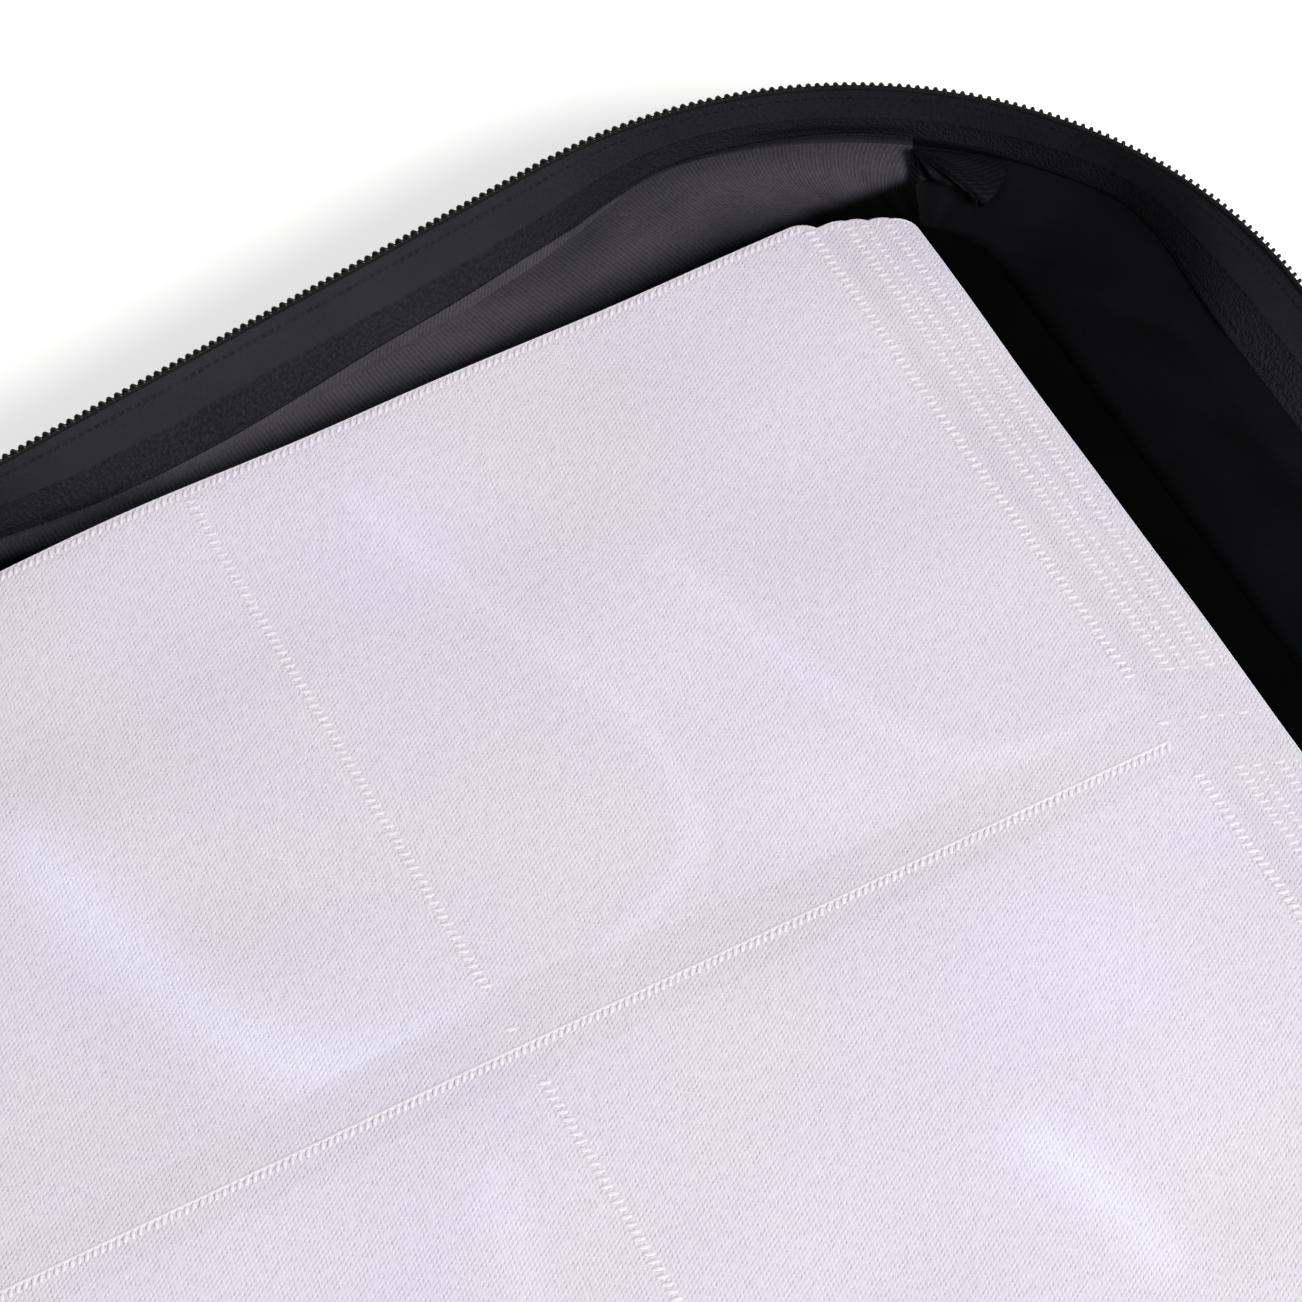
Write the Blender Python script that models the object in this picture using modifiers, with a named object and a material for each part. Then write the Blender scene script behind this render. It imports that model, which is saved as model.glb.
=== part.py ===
# A zipped CD storage case lying open, with five two-by-two disc sleeves in each half.
# Units are metres. X runs from the spine to the fore edge of the back half, Y towards
# the head of the pages, and Z up from the table. The origin is the middle of the spine.
import math

import bpy
import bmesh
from mathutils import Vector

MM = 0.001

# Disc sleeves
POCKET_WIDTH = 132 * MM
POCKET_HEIGHT = 138 * MM
PAGE_HEM = 2.5 * MM
PAGE_BINDING_MARGIN = 11 * MM
PAGE_CORNER_RADIUS = 9 * MM
PAGE_BEND_RADIUS = 8 * MM
PAGE_THICKNESS = 0.5 * MM
LEAF_HEIGHTS = (24.3 * MM, 20.8 * MM, 18.9 * MM, 16.1 * MM, 14.6 * MM)
LEAF_EDGE_SHIFTS = (0, 8.4 * MM, 11.8 * MM, 17.2 * MM, 19.8 * MM)
FILM_THICKNESS = 0.25 * MM
UPPER_FILM_SETBACK = 11 * MM
LOWER_FILM_SETBACK = 6 * MM
FILM_END_INSET = 3.4 * MM
WELD_WIDTH = 1.6 * MM
WELD_THICKNESS = 0.3 * MM

# Covers and spine
CLOSED_THICKNESS = 68 * MM
CLOTH_THICKNESS = 0.5 * MM
BOARD_THICKNESS = 2.2 * MM
LINING_THICKNESS = 0.5 * MM
BINDING_THICKNESS = 2.0 * MM
BINDING_SIDE = 1.2 * MM
HINGE_AXIS_HEIGHT = 0.8 * MM
HINGE_GUTTER = 3.5 * MM
COVER_MARGIN = 9.5 * MM
COVER_FORE_MARGIN = 14.5 * MM
COVER_CORNER_RADIUS = 22 * MM
SLIT = 0.2 * MM

# Walls and rim
WALL_THICKNESS = 0.8 * MM
WALL_SETBACK = 4 * MM
WALL_FOOT = 0.6 * MM
WALL_BULGE = 1.6 * MM
WALL_LINING_INSET = 1.3 * MM
WALL_LINING_SAG = 2.2 * MM
SEAM_SHARE = 0.45
SEAM_GAP_SHARE = 0.005
GUSSET_PROFILE = ((0, 0), (0.35, 1), (0.7, 0.75), (1, 0))
LINING_SAG_START = 0.5
LINING_SAG_END = 0.8
LINING_TOP_SHARE = 0.98
TAPE_WIDTH = 16 * MM
TAPE_THICKNESS = 0.7 * MM
TAPE_LEAN_OUT = 12 * MM
TAPE_LEAN_IN = 2 * MM
HEAD_SLOPE_START = 0.36
HEAD_SLOPE_TURN = 0.26
HEAD_SLOPE_END = 0.82
CORNER_SLOPE_START = -0.18
CORNER_SLOPE_TURN = 0.36
FORE_SLOPE_START = 0.68
FORE_SLOPE_TURN = 0.32
LEAN_IN_TURN = 0.2
LEAN_IN_END = 0.9
RIM_SPINE_OFFSET = 1.0 * MM
RIM_HEAD_OFFSET = 21.9 * MM
RIM_FORE_OFFSET = 32.9 * MM
RIM_CORNER_RADIUS = 97.5 * MM
RIM_FLARE_ANGLE = math.radians(6.5)
RIM_FLARE_BLEND = 3 * MM

# Zip
RIM_GAP = 0.6 * MM
COIL_HEIGHT = 1.4 * MM
COIL_HALF_WIDTH = 1.2 * MM
TOOTH_PITCH = 4.0 * MM
TOOTH_REACH = 0.6 * MM
POINTS_PER_TOOTH = 3
INNER_EDGE_PITCHES = 6
SLIDER_LENGTH = 11 * MM
SLIDER_WIDTH = 9 * MM
SLIDER_SETBACK = 6.5 * MM
SLIDER_PLATE = 1.25 * MM
SLIDER_SLOT = 1.5 * MM
SLIDER_WEB = 2.4 * MM
SLIDER_LIP = 0.9 * MM
BAIL_LENGTH = 7 * MM
BAIL_OPENING = 5.2 * MM
BAIL_RISE = 1.7 * MM
BAIL_BAR = 0.8 * MM
BAIL_WIDTH = 1.6 * MM
PULL_LENGTH = 18 * MM
PULL_WIDTH = 6.4 * MM
PULL_THICKNESS = 1.0 * MM
PULL_WINDOW_LENGTH = 4.6 * MM
PULL_WINDOW_WIDTH = 2.8 * MM

# Clearances
GAP = 0.3 * MM

# Smoothness
HEAD_STEPS = 12
CORNER_STEPS = 12
SEAM_STEPS = 5
FORE_STEPS = 2
COIL_FINENESS = 4
BEND_STEPS = 5
ROUND_STEPS = 6

# Worked-out sizes
HINGE_X = CLOSED_THICKNESS / 2 - HINGE_AXIS_HEIGHT
PAGE_WIDTH = PAGE_BINDING_MARGIN + 2 * POCKET_WIDTH + PAGE_HEM
PAGE_HALF_HEIGHT = POCKET_HEIGHT + PAGE_HEM
BOARD_BOTTOM = CLOTH_THICKNESS + GAP
BOARD_TOP = BOARD_BOTTOM + BOARD_THICKNESS
LINING_BOTTOM = BOARD_TOP + GAP
LINING_TOP = LINING_BOTTOM + LINING_THICKNESS
BINDING_BOTTOM = LINING_TOP + GAP
BINDING_TOP = BINDING_BOTTOM + BINDING_THICKNESS
LEAF_FOOT = BINDING_TOP + GAP
HEAD_Y = PAGE_HALF_HEIGHT + COVER_MARGIN
WALL_START = HINGE_X + WALL_SETBACK
SPINE_CLEARANCE = LINING_TOP - HINGE_AXIS_HEIGHT
FIRST_LEAF_X = HINGE_X + SPINE_CLEARANCE + BINDING_SIDE + 4 * GAP


def leaf_flat_run(height):
    """The length of a sleeve that lies flat, past its rise and its bend."""
    rise = height - PAGE_BEND_RADIUS - LEAF_FOOT
    return PAGE_WIDTH - rise - math.pi / 2 * PAGE_BEND_RADIUS


FIRST_EDGE_X = FIRST_LEAF_X + PAGE_BEND_RADIUS + leaf_flat_run(LEAF_HEIGHTS[0])
FORE_X = FIRST_EDGE_X + max(LEAF_EDGE_SHIFTS) + COVER_FORE_MARGIN
WELD_EDGE_X = FIRST_EDGE_X - PAGE_HEM
RIM_HEIGHT = CLOSED_THICKNESS / 2 - RIM_GAP / 2
COIL_BOTTOM = RIM_HEIGHT - COIL_HEIGHT
TAPE_TOP = COIL_BOTTOM - GAP - TAPE_THICKNESS / 2
RIM_SPINE_Y = HEAD_Y + RIM_SPINE_OFFSET
RIM_FORE_X = FORE_X + RIM_FORE_OFFSET
RIM_CORNER_X = RIM_FORE_X - RIM_CORNER_RADIUS
RIM_CORNER_Y = HEAD_Y + RIM_HEAD_OFFSET - RIM_CORNER_RADIUS
RIM_TANGENT_X = RIM_CORNER_X - RIM_CORNER_RADIUS * math.sin(RIM_FLARE_ANGLE)
RIM_TANGENT_Y = RIM_CORNER_Y + RIM_CORNER_RADIUS * math.cos(RIM_FLARE_ANGLE)
SLIDER_X = HINGE_X + SLIDER_SETBACK + SLIDER_LENGTH / 2
COIL_START = HINGE_X + SLIDER_SETBACK + SLIDER_LENGTH + GAP
PULL_STANDOFF = SLIDER_SLOT / 2 + SLIDER_PLATE + BAIL_RISE / 2


def clear_scene():
    for item in list(bpy.data.objects):
        bpy.data.objects.remove(item, do_unlink=True)


def make_collection(name):
    collection = bpy.data.collections.new(name)
    bpy.context.scene.collection.children.link(collection)
    return collection


def make_material(name, colour, roughness, metallic=0.0):
    material = bpy.data.materials.new(name)
    material.use_nodes = True
    shader = material.node_tree.nodes["Principled BSDF"]
    shader.inputs["Base Color"].default_value = (*colour, 1.0)
    shader.inputs["Roughness"].default_value = roughness
    shader.inputs["Metallic"].default_value = metallic
    return material


def place(name, data, colour, roughness, metallic=0.0):
    """Give a mesh or a curve its object, its material and its collection."""
    item = bpy.data.objects.new(name, data)
    data.materials.append(make_material(name, colour, roughness, metallic))
    case.objects.link(item)
    return item


def solid_sheet(name, stations, thickness, colour, roughness):
    """A cloth, film or board sheet lofted through stations of points, with even thickness."""
    mesh = bpy.data.meshes.new(name)
    work = bmesh.new()
    rows = [[work.verts.new(point) for point in station] for station in stations]
    for near, far in zip(rows, rows[1:]):
        for low, high in zip(range(len(near) - 1), range(1, len(near))):
            work.faces.new((near[low], near[high], far[high], far[low]))
    bmesh.ops.recalc_face_normals(work, faces=work.faces)
    work.to_mesh(mesh)
    work.free()
    item = place(name, mesh, colour, roughness)
    solidify = item.modifiers.new("thickness", "SOLIDIFY")
    solidify.thickness = thickness
    solidify.offset = 0
    return item


def flat_plate(name, outlines, bottom, top, colour, roughness, metallic=0.0):
    """A flat piece cut to an outline, with any further outlines as windows in it."""
    curve = bpy.data.curves.new(name, "CURVE")
    curve.dimensions = "2D"
    curve.fill_mode = "BOTH"
    curve.extrude = (top - bottom) / 2
    for outline in outlines:
        spline = curve.splines.new("POLY")
        spline.points.add(len(outline) - 1)
        for point, (x, y) in zip(spline.points, outline):
            point.co = (x, y, 0, 1)
        spline.use_cyclic_u = True
    item = place(name, curve, colour, roughness, metallic)
    item.location.z = (top + bottom) / 2
    return item


def rectangle(low_x, high_x, low_y, high_y):
    return [(low_x, low_y), (high_x, low_y), (high_x, high_y), (low_x, high_y)]


def mix(start, end, share):
    return start + (end - start) * share


def ease(share):
    share = min(1, max(0, share))
    return share * share * (3 - 2 * share)


# Walls: every line round the case is read at the same stations, from the spine end of
# the head wall, round the fore edge, to the spine end of the tail wall.

def rim_point(part, share, inset=0):
    """A point on the rim, or inset from it. The rim keeps clear of the cover's edge by
    the spine, flares along a straight line, and turns the corner on an arc."""
    if part == "head":
        x = mix(WALL_START, RIM_TANGENT_X, share)
        flare = RIM_TANGENT_Y + (x - RIM_TANGENT_X) * math.tan(RIM_FLARE_ANGLE) - RIM_SPINE_Y
        reach = (flare + math.hypot(flare, RIM_FLARE_BLEND)) / 2
        return x, RIM_SPINE_Y + reach - inset
    if part == "corner":
        angle = (math.pi / 2 + RIM_FLARE_ANGLE) * (1 - share)
        radius = RIM_CORNER_RADIUS - inset
        return RIM_CORNER_X + radius * math.cos(angle), RIM_CORNER_Y + radius * math.sin(angle)
    return RIM_FORE_X - inset, RIM_CORNER_Y * (1 - share)


def tape_foot(part, share):
    """The lower edge of the zip tape: it slopes out along the straight walls and stands
    up at the spine and round the corner."""
    slope = 1
    lean_in = 0
    if part == "head":
        slope = ease((share - HEAD_SLOPE_START) / HEAD_SLOPE_TURN)
        slope *= 1 - ease((share - HEAD_SLOPE_END) / CORNER_SLOPE_TURN)
    if part == "corner":
        slope = 1 - ease((share - CORNER_SLOPE_START) / CORNER_SLOPE_TURN)
        slope += ease((share - FORE_SLOPE_START) / FORE_SLOPE_TURN)
        lean_in = ease(share / LEAN_IN_TURN) * ease((LEAN_IN_END - share) / LEAN_IN_TURN)
    inset = TAPE_LEAN_OUT * slope - TAPE_LEAN_IN * lean_in
    x, y = rim_point(part, share, inset)
    return x, y, TAPE_TOP - math.sqrt(TAPE_WIDTH ** 2 - inset ** 2)


def foot_point(part, share):
    """A point on the line where the wall meets the edge of the cover."""
    corner_x = FORE_X - COVER_CORNER_RADIUS
    corner_y = HEAD_Y - COVER_CORNER_RADIUS
    if part == "head":
        return mix(WALL_START, corner_x, share), HEAD_Y
    if part == "corner":
        angle = math.pi / 2 * (1 - share)
        reach_x = COVER_CORNER_RADIUS * math.cos(angle)
        reach_y = COVER_CORNER_RADIUS * math.sin(angle)
        return corner_x + reach_x, corner_y + reach_y
    return FORE_X, corner_y * (1 - share)


def outward(part, share):
    angle = {"head": math.pi / 2, "corner": math.pi / 2 * (1 - share), "fore": 0}[part]
    return math.cos(angle), math.sin(angle)


def wall_point(part, share, rise, bulge):
    """A point on the wall, with rise 0 at its foot and 1 where the zip tape begins. It
    lies off the straight wall by the bulge, square to the wall's slope."""
    foot_x, foot_y = foot_point(part, share)
    head_x, head_y, head_z = tape_foot(part, share)
    out_x, out_y = outward(part, share)
    height = head_z - GAP - (WALL_THICKNESS + TAPE_THICKNESS) / 2 - WALL_FOOT
    spread = (head_x - foot_x) * out_x + (head_y - foot_y) * out_y
    length = math.hypot(height, spread)
    level = bulge * height / length
    x = mix(foot_x, head_x, rise) + level * out_x
    y = mix(foot_y, head_y, rise) + level * out_y
    return x, y, WALL_FOOT + height * rise - bulge * spread / length


def steps(part, count, start=0, end=1):
    return [(part, mix(start, end, step / count)) for step in range(count + 1)]


def side_stations(side):
    """The stations of one wall: the head wall runs on into the corner, to its seam."""
    seam_start = SEAM_SHARE - SEAM_GAP_SHARE
    seam_end = SEAM_SHARE + SEAM_GAP_SHARE
    if side == "head":
        return steps("head", HEAD_STEPS) + steps("corner", SEAM_STEPS, 0, seam_start)[1:]
    corner = steps("corner", CORNER_STEPS - SEAM_STEPS, seam_end, 1)
    return corner + steps("fore", FORE_STEPS)[1:]


def wall_rows(side, half, profile):
    """Stations of world points for one wall, from a profile of (rise, bulge) pairs."""
    rows = []
    for part, share in side_stations(side if side != "tail" else "head"):
        points = [wall_point(part, share, rise, bulge) for rise, bulge in profile]
        rows.append(points)
    if side == "fore":
        rows += [[(x, -y, z) for x, y, z in row] for row in reversed(rows[:-1])]
    sign = -1 if side == "tail" else 1
    return [[(half * x, sign * y, z) for x, y, z in row] for row in rows]


def rim_stations(start_x, head_steps, corner_steps, fore_steps):
    """The stations of the rim, from its spine end to the middle of the fore edge."""
    first = (start_x - WALL_START) / (RIM_TANGENT_X - WALL_START)
    stations = steps("head", head_steps, first, 1)
    stations += steps("corner", corner_steps)[1:]
    return stations + steps("fore", fore_steps)[1:]


def with_tail(points):
    """Carry points of the head half on round the tail half."""
    return points + [(x, -y, *rest) for x, y, *rest in reversed(points[:-1])]


def make_walls(label, half):
    outside = [(rise, WALL_BULGE * share) for rise, share in GUSSET_PROFILE]
    sag = WALL_LINING_INSET + WALL_LINING_SAG
    foot_rise = (BINDING_BOTTOM - WALL_FOOT) / (RIM_HEIGHT / 2 - WALL_FOOT)
    inside = ((foot_rise, -WALL_LINING_INSET), (LINING_SAG_START, -sag), (LINING_SAG_END, -sag),
              (LINING_TOP_SHARE, -WALL_LINING_INSET))
    for side in ("head", "fore", "tail"):
        solid_sheet(f"{label}_gusset_{side}", wall_rows(side, half, outside),
                    WALL_THICKNESS, (0.025, 0.025, 0.03), 0.85)
        solid_sheet(f"{label}_wall_lining_{side}", wall_rows(side, half, inside),
                    LINING_THICKNESS, (0.05, 0.05, 0.055), 0.8)


def make_tape(label, half):
    """The zip tape slopes out from the top of the walls to the rim."""
    start_x = WALL_START if half > 0 else COIL_START + GAP
    stations = rim_stations(start_x, HEAD_STEPS, CORNER_STEPS, FORE_STEPS)
    lower = with_tail([tape_foot(part, share) for part, share in stations])
    upper = with_tail([rim_point(part, share) for part, share in stations])
    rows = []
    for (low_x, low_y, low_z), (high_x, high_y) in zip(lower, upper):
        rows.append([(half * low_x, low_y, low_z), (half * high_x, high_y, TAPE_TOP)])
    solid_sheet(f"{label}_zip_tape", rows, TAPE_THICKNESS, (0.03, 0.03, 0.038), 0.8)


def spaced_line(points, pitch):
    """Places and outward directions along a line of points. They are evenly spaced, as
    near to the pitch as fits the line, with half a step left at each end."""
    total = sum(math.dist(near, far) for near, far in zip(points, points[1:]))
    spacing = total / round(total / pitch)
    places = []
    travelled = 0
    wanted = spacing / 2
    for (x0, y0), (x1, y1) in zip(points, points[1:]):
        length = math.hypot(x1 - x0, y1 - y0)
        while wanted <= travelled + length:
            share = (wanted - travelled) / length
            out = ((y0 - y1) / length, (x1 - x0) / length)
            places.append((mix(x0, x1, share), mix(y0, y1, share), out))
            wanted += spacing
        travelled += length
    return places


def make_coil(label, half):
    """The row of zip teeth: a strip along the rim with one tooth at each pitch."""
    start_x = COIL_START if half > 0 else COIL_START + GAP
    stations = rim_stations(start_x, COIL_FINENESS * HEAD_STEPS, COIL_FINENESS * CORNER_STEPS, 1)
    centre = with_tail([rim_point(part, share) for part, share in stations])
    outer = []
    for index, (x, y, out) in enumerate(spaced_line(centre, TOOTH_PITCH / POINTS_PER_TOOTH)):
        reach = COIL_HALF_WIDTH + (TOOTH_REACH if index % POINTS_PER_TOOTH else 0)
        outer.append((half * (x + reach * out[0]), y + reach * out[1]))
    inner = []
    for x, y, out in spaced_line(centre, INNER_EDGE_PITCHES * TOOTH_PITCH):
        inner.append((half * (x - COIL_HALF_WIDTH * out[0]), y - COIL_HALF_WIDTH * out[1]))
    first_x, first_y = centre[0]
    inner.insert(0, (half * first_x, first_y - COIL_HALF_WIDTH))
    inner.append((half * first_x, COIL_HALF_WIDTH - first_y))
    outline = outer + inner[::-1]
    flat_plate(f"{label}_zip_coil", [outline], COIL_BOTTOM, RIM_HEIGHT, (0.015, 0.015, 0.018), 0.35)


# Covers

def cover_outline(half, near_x, inset):
    """A cover seen from above: square at the spine, rounded at the fore corners."""
    radius = COVER_CORNER_RADIUS - inset
    corner_x = FORE_X - COVER_CORNER_RADIUS
    corner_y = HEAD_Y - COVER_CORNER_RADIUS
    points = [(near_x, inset - HEAD_Y)]
    for sign in (-1, 1):
        for step in range(ROUND_STEPS + 1):
            turn = math.pi / 2 * step / ROUND_STEPS
            angle = turn if sign > 0 else turn - math.pi / 2
            points.append((corner_x + radius * math.cos(angle),
                           sign * corner_y + radius * math.sin(angle)))
    points.append((near_x, HEAD_Y - inset))
    outline = [(half * x, y) for x, y in points]
    return outline if half > 0 else outline[::-1]


def make_cover(label, half):
    edge = WALL_THICKNESS / 2 + GAP
    cloth = cover_outline(half, HINGE_X + SLIT, edge)
    board = cover_outline(half, HINGE_X + HINGE_GUTTER, edge)
    lining_edge = WALL_LINING_INSET + LINING_THICKNESS + GAP
    lining = cover_outline(half, HINGE_X + HINGE_GUTTER, lining_edge)
    flat_plate(f"{label}_cover_cloth", [cloth], 0, CLOTH_THICKNESS, (0.03, 0.03, 0.035), 0.8)
    flat_plate(f"{label}_board", [board], BOARD_BOTTOM, BOARD_TOP, (0.25, 0.24, 0.22), 0.9)
    flat_plate(f"{label}_lining", [lining], LINING_BOTTOM, LINING_TOP, (0.02, 0.02, 0.022), 0.8)


def make_spine():
    half_height = HEAD_Y - WALL_THICKNESS / 2 - GAP
    cloth_edge = HINGE_X - SLIT
    board_edge = HINGE_X - HINGE_GUTTER
    cloth = rectangle(-cloth_edge, cloth_edge, -half_height, half_height)
    board = rectangle(-board_edge, board_edge, -half_height, half_height)
    flat_plate("spine_cloth", [cloth], 0, CLOTH_THICKNESS, (0.03, 0.03, 0.035), 0.8)
    flat_plate("spine_board", [board], BOARD_BOTTOM, BOARD_TOP, (0.25, 0.24, 0.22), 0.9)
    flat_plate("spine_lining", [board], LINING_BOTTOM, LINING_TOP, (0.02, 0.02, 0.022), 0.8)


# Sleeves

def leaf_foot_x(index):
    """Where a sleeve rises from the binding, so that its fore edge lies at its shift."""
    run = leaf_flat_run(LEAF_HEIGHTS[index])
    return FIRST_EDGE_X + LEAF_EDGE_SHIFTS[index] - run - PAGE_BEND_RADIUS


def leaf_point(index, along, across, lift):
    """A point on a bent sleeve: along it from its bound edge, and lifted off its face."""
    foot_x = leaf_foot_x(index)
    height = LEAF_HEIGHTS[index]
    rise = height - PAGE_BEND_RADIUS - LEAF_FOOT
    bend = math.pi / 2 * PAGE_BEND_RADIUS
    if along <= rise:
        return foot_x - lift, across, LEAF_FOOT + along
    if along < rise + bend:
        angle = (along - rise) / PAGE_BEND_RADIUS
        radius = PAGE_BEND_RADIUS + lift
        x = foot_x + PAGE_BEND_RADIUS - radius * math.cos(angle)
        return x, across, height - PAGE_BEND_RADIUS + radius * math.sin(angle)
    return foot_x + PAGE_BEND_RADIUS + along - rise - bend, across, height + lift


def bend_marks(index, start):
    """Distances along a sleeve that follow its rise and its bend."""
    rise = LEAF_HEIGHTS[index] - PAGE_BEND_RADIUS - LEAF_FOOT
    bend = math.pi / 2 * PAGE_BEND_RADIUS
    marks = [rise + bend * step / BEND_STEPS for step in range(BEND_STEPS + 1)]
    return [start] + [mark for mark in marks if mark > start]


def make_leaf(label, half, index):
    """One sleeve, bound at its foot and bent over, with rounded fore corners."""
    straight = PAGE_WIDTH - PAGE_CORNER_RADIUS
    rows = []
    for along in bend_marks(index, 0):
        rows.append((along, PAGE_HALF_HEIGHT))
    for step in range(ROUND_STEPS + 1):
        turn = math.pi / 2 * step / ROUND_STEPS
        along = straight + PAGE_CORNER_RADIUS * math.sin(turn)
        drop = PAGE_CORNER_RADIUS * (1 - math.cos(turn))
        rows.append((along, PAGE_HALF_HEIGHT - drop))
    stations = []
    for along, reach in rows:
        points = [leaf_point(index, along, side, 0) for side in (-reach, 0, reach)]
        stations.append([(half * x, y, z) for x, y, z in points])
    solid_sheet(f"{label}_sleeve_{index + 1}", stations, PAGE_THICKNESS, (0.78, 0.76, 0.82), 0.7)


def make_film(label, half, row):
    """Clear film over the two upper or the two lower pockets of the top sleeve."""
    lift = PAGE_THICKNESS / 2 + GAP + FILM_THICKNESS / 2
    far = PAGE_HALF_HEIGHT - FILM_END_INSET
    edges = (UPPER_FILM_SETBACK, far) if row == "upper" else (-LOWER_FILM_SETBACK, -far)
    stations = []
    for along in bend_marks(0, PAGE_BINDING_MARGIN) + [PAGE_WIDTH - PAGE_HEM]:
        points = [leaf_point(0, along, across, lift) for across in edges]
        stations.append([(half * x, y, z) for x, y, z in points])
    solid_sheet(f"{label}_film_{row}", stations, FILM_THICKNESS, (0.86, 0.86, 0.9), 0.25)


def make_welds(label, half):
    """The welded lines that part the four pockets of the top sleeve."""
    bottom = LEAF_HEIGHTS[0] + PAGE_THICKNESS / 2 + FILM_THICKNESS + 2 * GAP
    low_x = leaf_foot_x(0) + PAGE_BEND_RADIUS + GAP
    divider = WELD_EDGE_X - POCKET_WIDTH
    w = WELD_WIDTH / 2
    h = POCKET_HEIGHT
    comb = [(low_x, -h - w), (WELD_EDGE_X + w, -h - w), (WELD_EDGE_X + w, h + w), (low_x, h + w),
            (low_x, h - w), (divider - w, h - w), (divider - w, w), (low_x, w),
            (low_x, -w), (divider - w, -w), (divider - w, w - h), (low_x, w - h)]
    windows = [rectangle(divider + w, WELD_EDGE_X - w, w, h - w),
               rectangle(divider + w, WELD_EDGE_X - w, w - h, -w)]
    outlines = [[(half * x, y) for x, y in outline] for outline in [comb] + windows]
    flat_plate(f"{label}_sleeve_welds", outlines, bottom, bottom + WELD_THICKNESS,
               (0.9, 0.89, 0.93), 0.4)


def make_binding(label, half):
    """The strip that the sleeves are stitched to, beside the hinge."""
    near = FIRST_LEAF_X - BINDING_SIDE
    far = leaf_foot_x(len(LEAF_HEIGHTS) - 1) + BINDING_SIDE
    strip = rectangle(*sorted((half * near, half * far)), -PAGE_HALF_HEIGHT, PAGE_HALF_HEIGHT)
    flat_plate(f"{label}_binding", [strip], BINDING_BOTTOM, BINDING_TOP, (0.03, 0.03, 0.035), 0.85)


# Zip sliders

def slider_y():
    """How far the sliders stand from the middle, on the line of the teeth."""
    return rim_point("head", (SLIDER_X - WALL_START) / (RIM_TANGENT_X - WALL_START))[1]


def mesh_from_curve(item):
    """Turn a filled curve into a welded mesh object, so that it can be joined."""
    bpy.context.view_layer.update()
    evaluated = item.evaluated_get(bpy.context.evaluated_depsgraph_get())
    mesh = bpy.data.meshes.new_from_object(evaluated)
    work = bmesh.new()
    work.from_mesh(mesh)
    bmesh.ops.remove_doubles(work, verts=work.verts, dist=0.01 * MM)
    bmesh.ops.recalc_face_normals(work, faces=work.faces)
    work.to_mesh(mesh)
    work.free()
    solid = bpy.data.objects.new(item.name + "_solid", mesh)
    solid.matrix_world = item.matrix_world.copy()
    name = item.name
    bpy.data.objects.remove(item, do_unlink=True)
    solid.name = name
    return solid


def make_slider(name, side):
    """A zip slider: two plates on a web with turned lips, and a bail for its pull."""
    half_slot = SLIDER_SLOT / 2
    outer = half_slot + SLIDER_PLATE
    half_width = SLIDER_WIDTH / 2
    web = SLIDER_WEB / 2
    lip_in = half_width - SLIDER_LIP
    lip_tip = half_slot - GAP / 2
    right = [(half_slot, web), (half_slot, lip_in), (lip_tip, lip_in), (lip_tip, half_width),
             (outer, half_width)]
    outline = right + [(y, -z) for y, z in reversed(right)]
    outline += [(-y, -z) for y, z in right] + [(-y, z) for y, z in reversed(right)]
    body = flat_plate(name, [outline], -SLIDER_LENGTH / 2, SLIDER_LENGTH / 2,
                      (0.02, 0.02, 0.022), 0.35, 0.6)
    body.rotation_euler = (math.pi / 2, 0, math.pi / 2)
    centre = Vector((SLIDER_X, side * slider_y(), CLOSED_THICKNESS / 2))
    body.location = centre
    body = mesh_from_curve(body)
    case.objects.link(body)

    sunk = SLIDER_PLATE / 2
    top = BAIL_RISE + BAIL_BAR
    arch = [(-BAIL_LENGTH / 2, -sunk), (-BAIL_OPENING / 2, -sunk), (-BAIL_OPENING / 2, BAIL_RISE),
            (BAIL_OPENING / 2, BAIL_RISE), (BAIL_OPENING / 2, -sunk), (BAIL_LENGTH / 2, -sunk),
            (BAIL_LENGTH / 2, top - GAP), (BAIL_LENGTH / 2 - GAP, top),
            (GAP - BAIL_LENGTH / 2, top), (-BAIL_LENGTH / 2, top - GAP)]
    arch = [(x, side * y) for x, y in arch]
    bail = flat_plate(name + "_bail", [arch], -BAIL_WIDTH / 2, BAIL_WIDTH / 2,
                      (0.02, 0.02, 0.022), 0.35, 0.6)
    bail.location = centre + Vector((0, side * outer, 0))
    bail = mesh_from_curve(bail)
    cutters.objects.link(bail)
    bail.hide_render = True
    bail.display_type = "WIRE"
    joined = body.modifiers.new("bail", "BOOLEAN")
    joined.operation = "UNION"
    joined.object = bail


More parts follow.
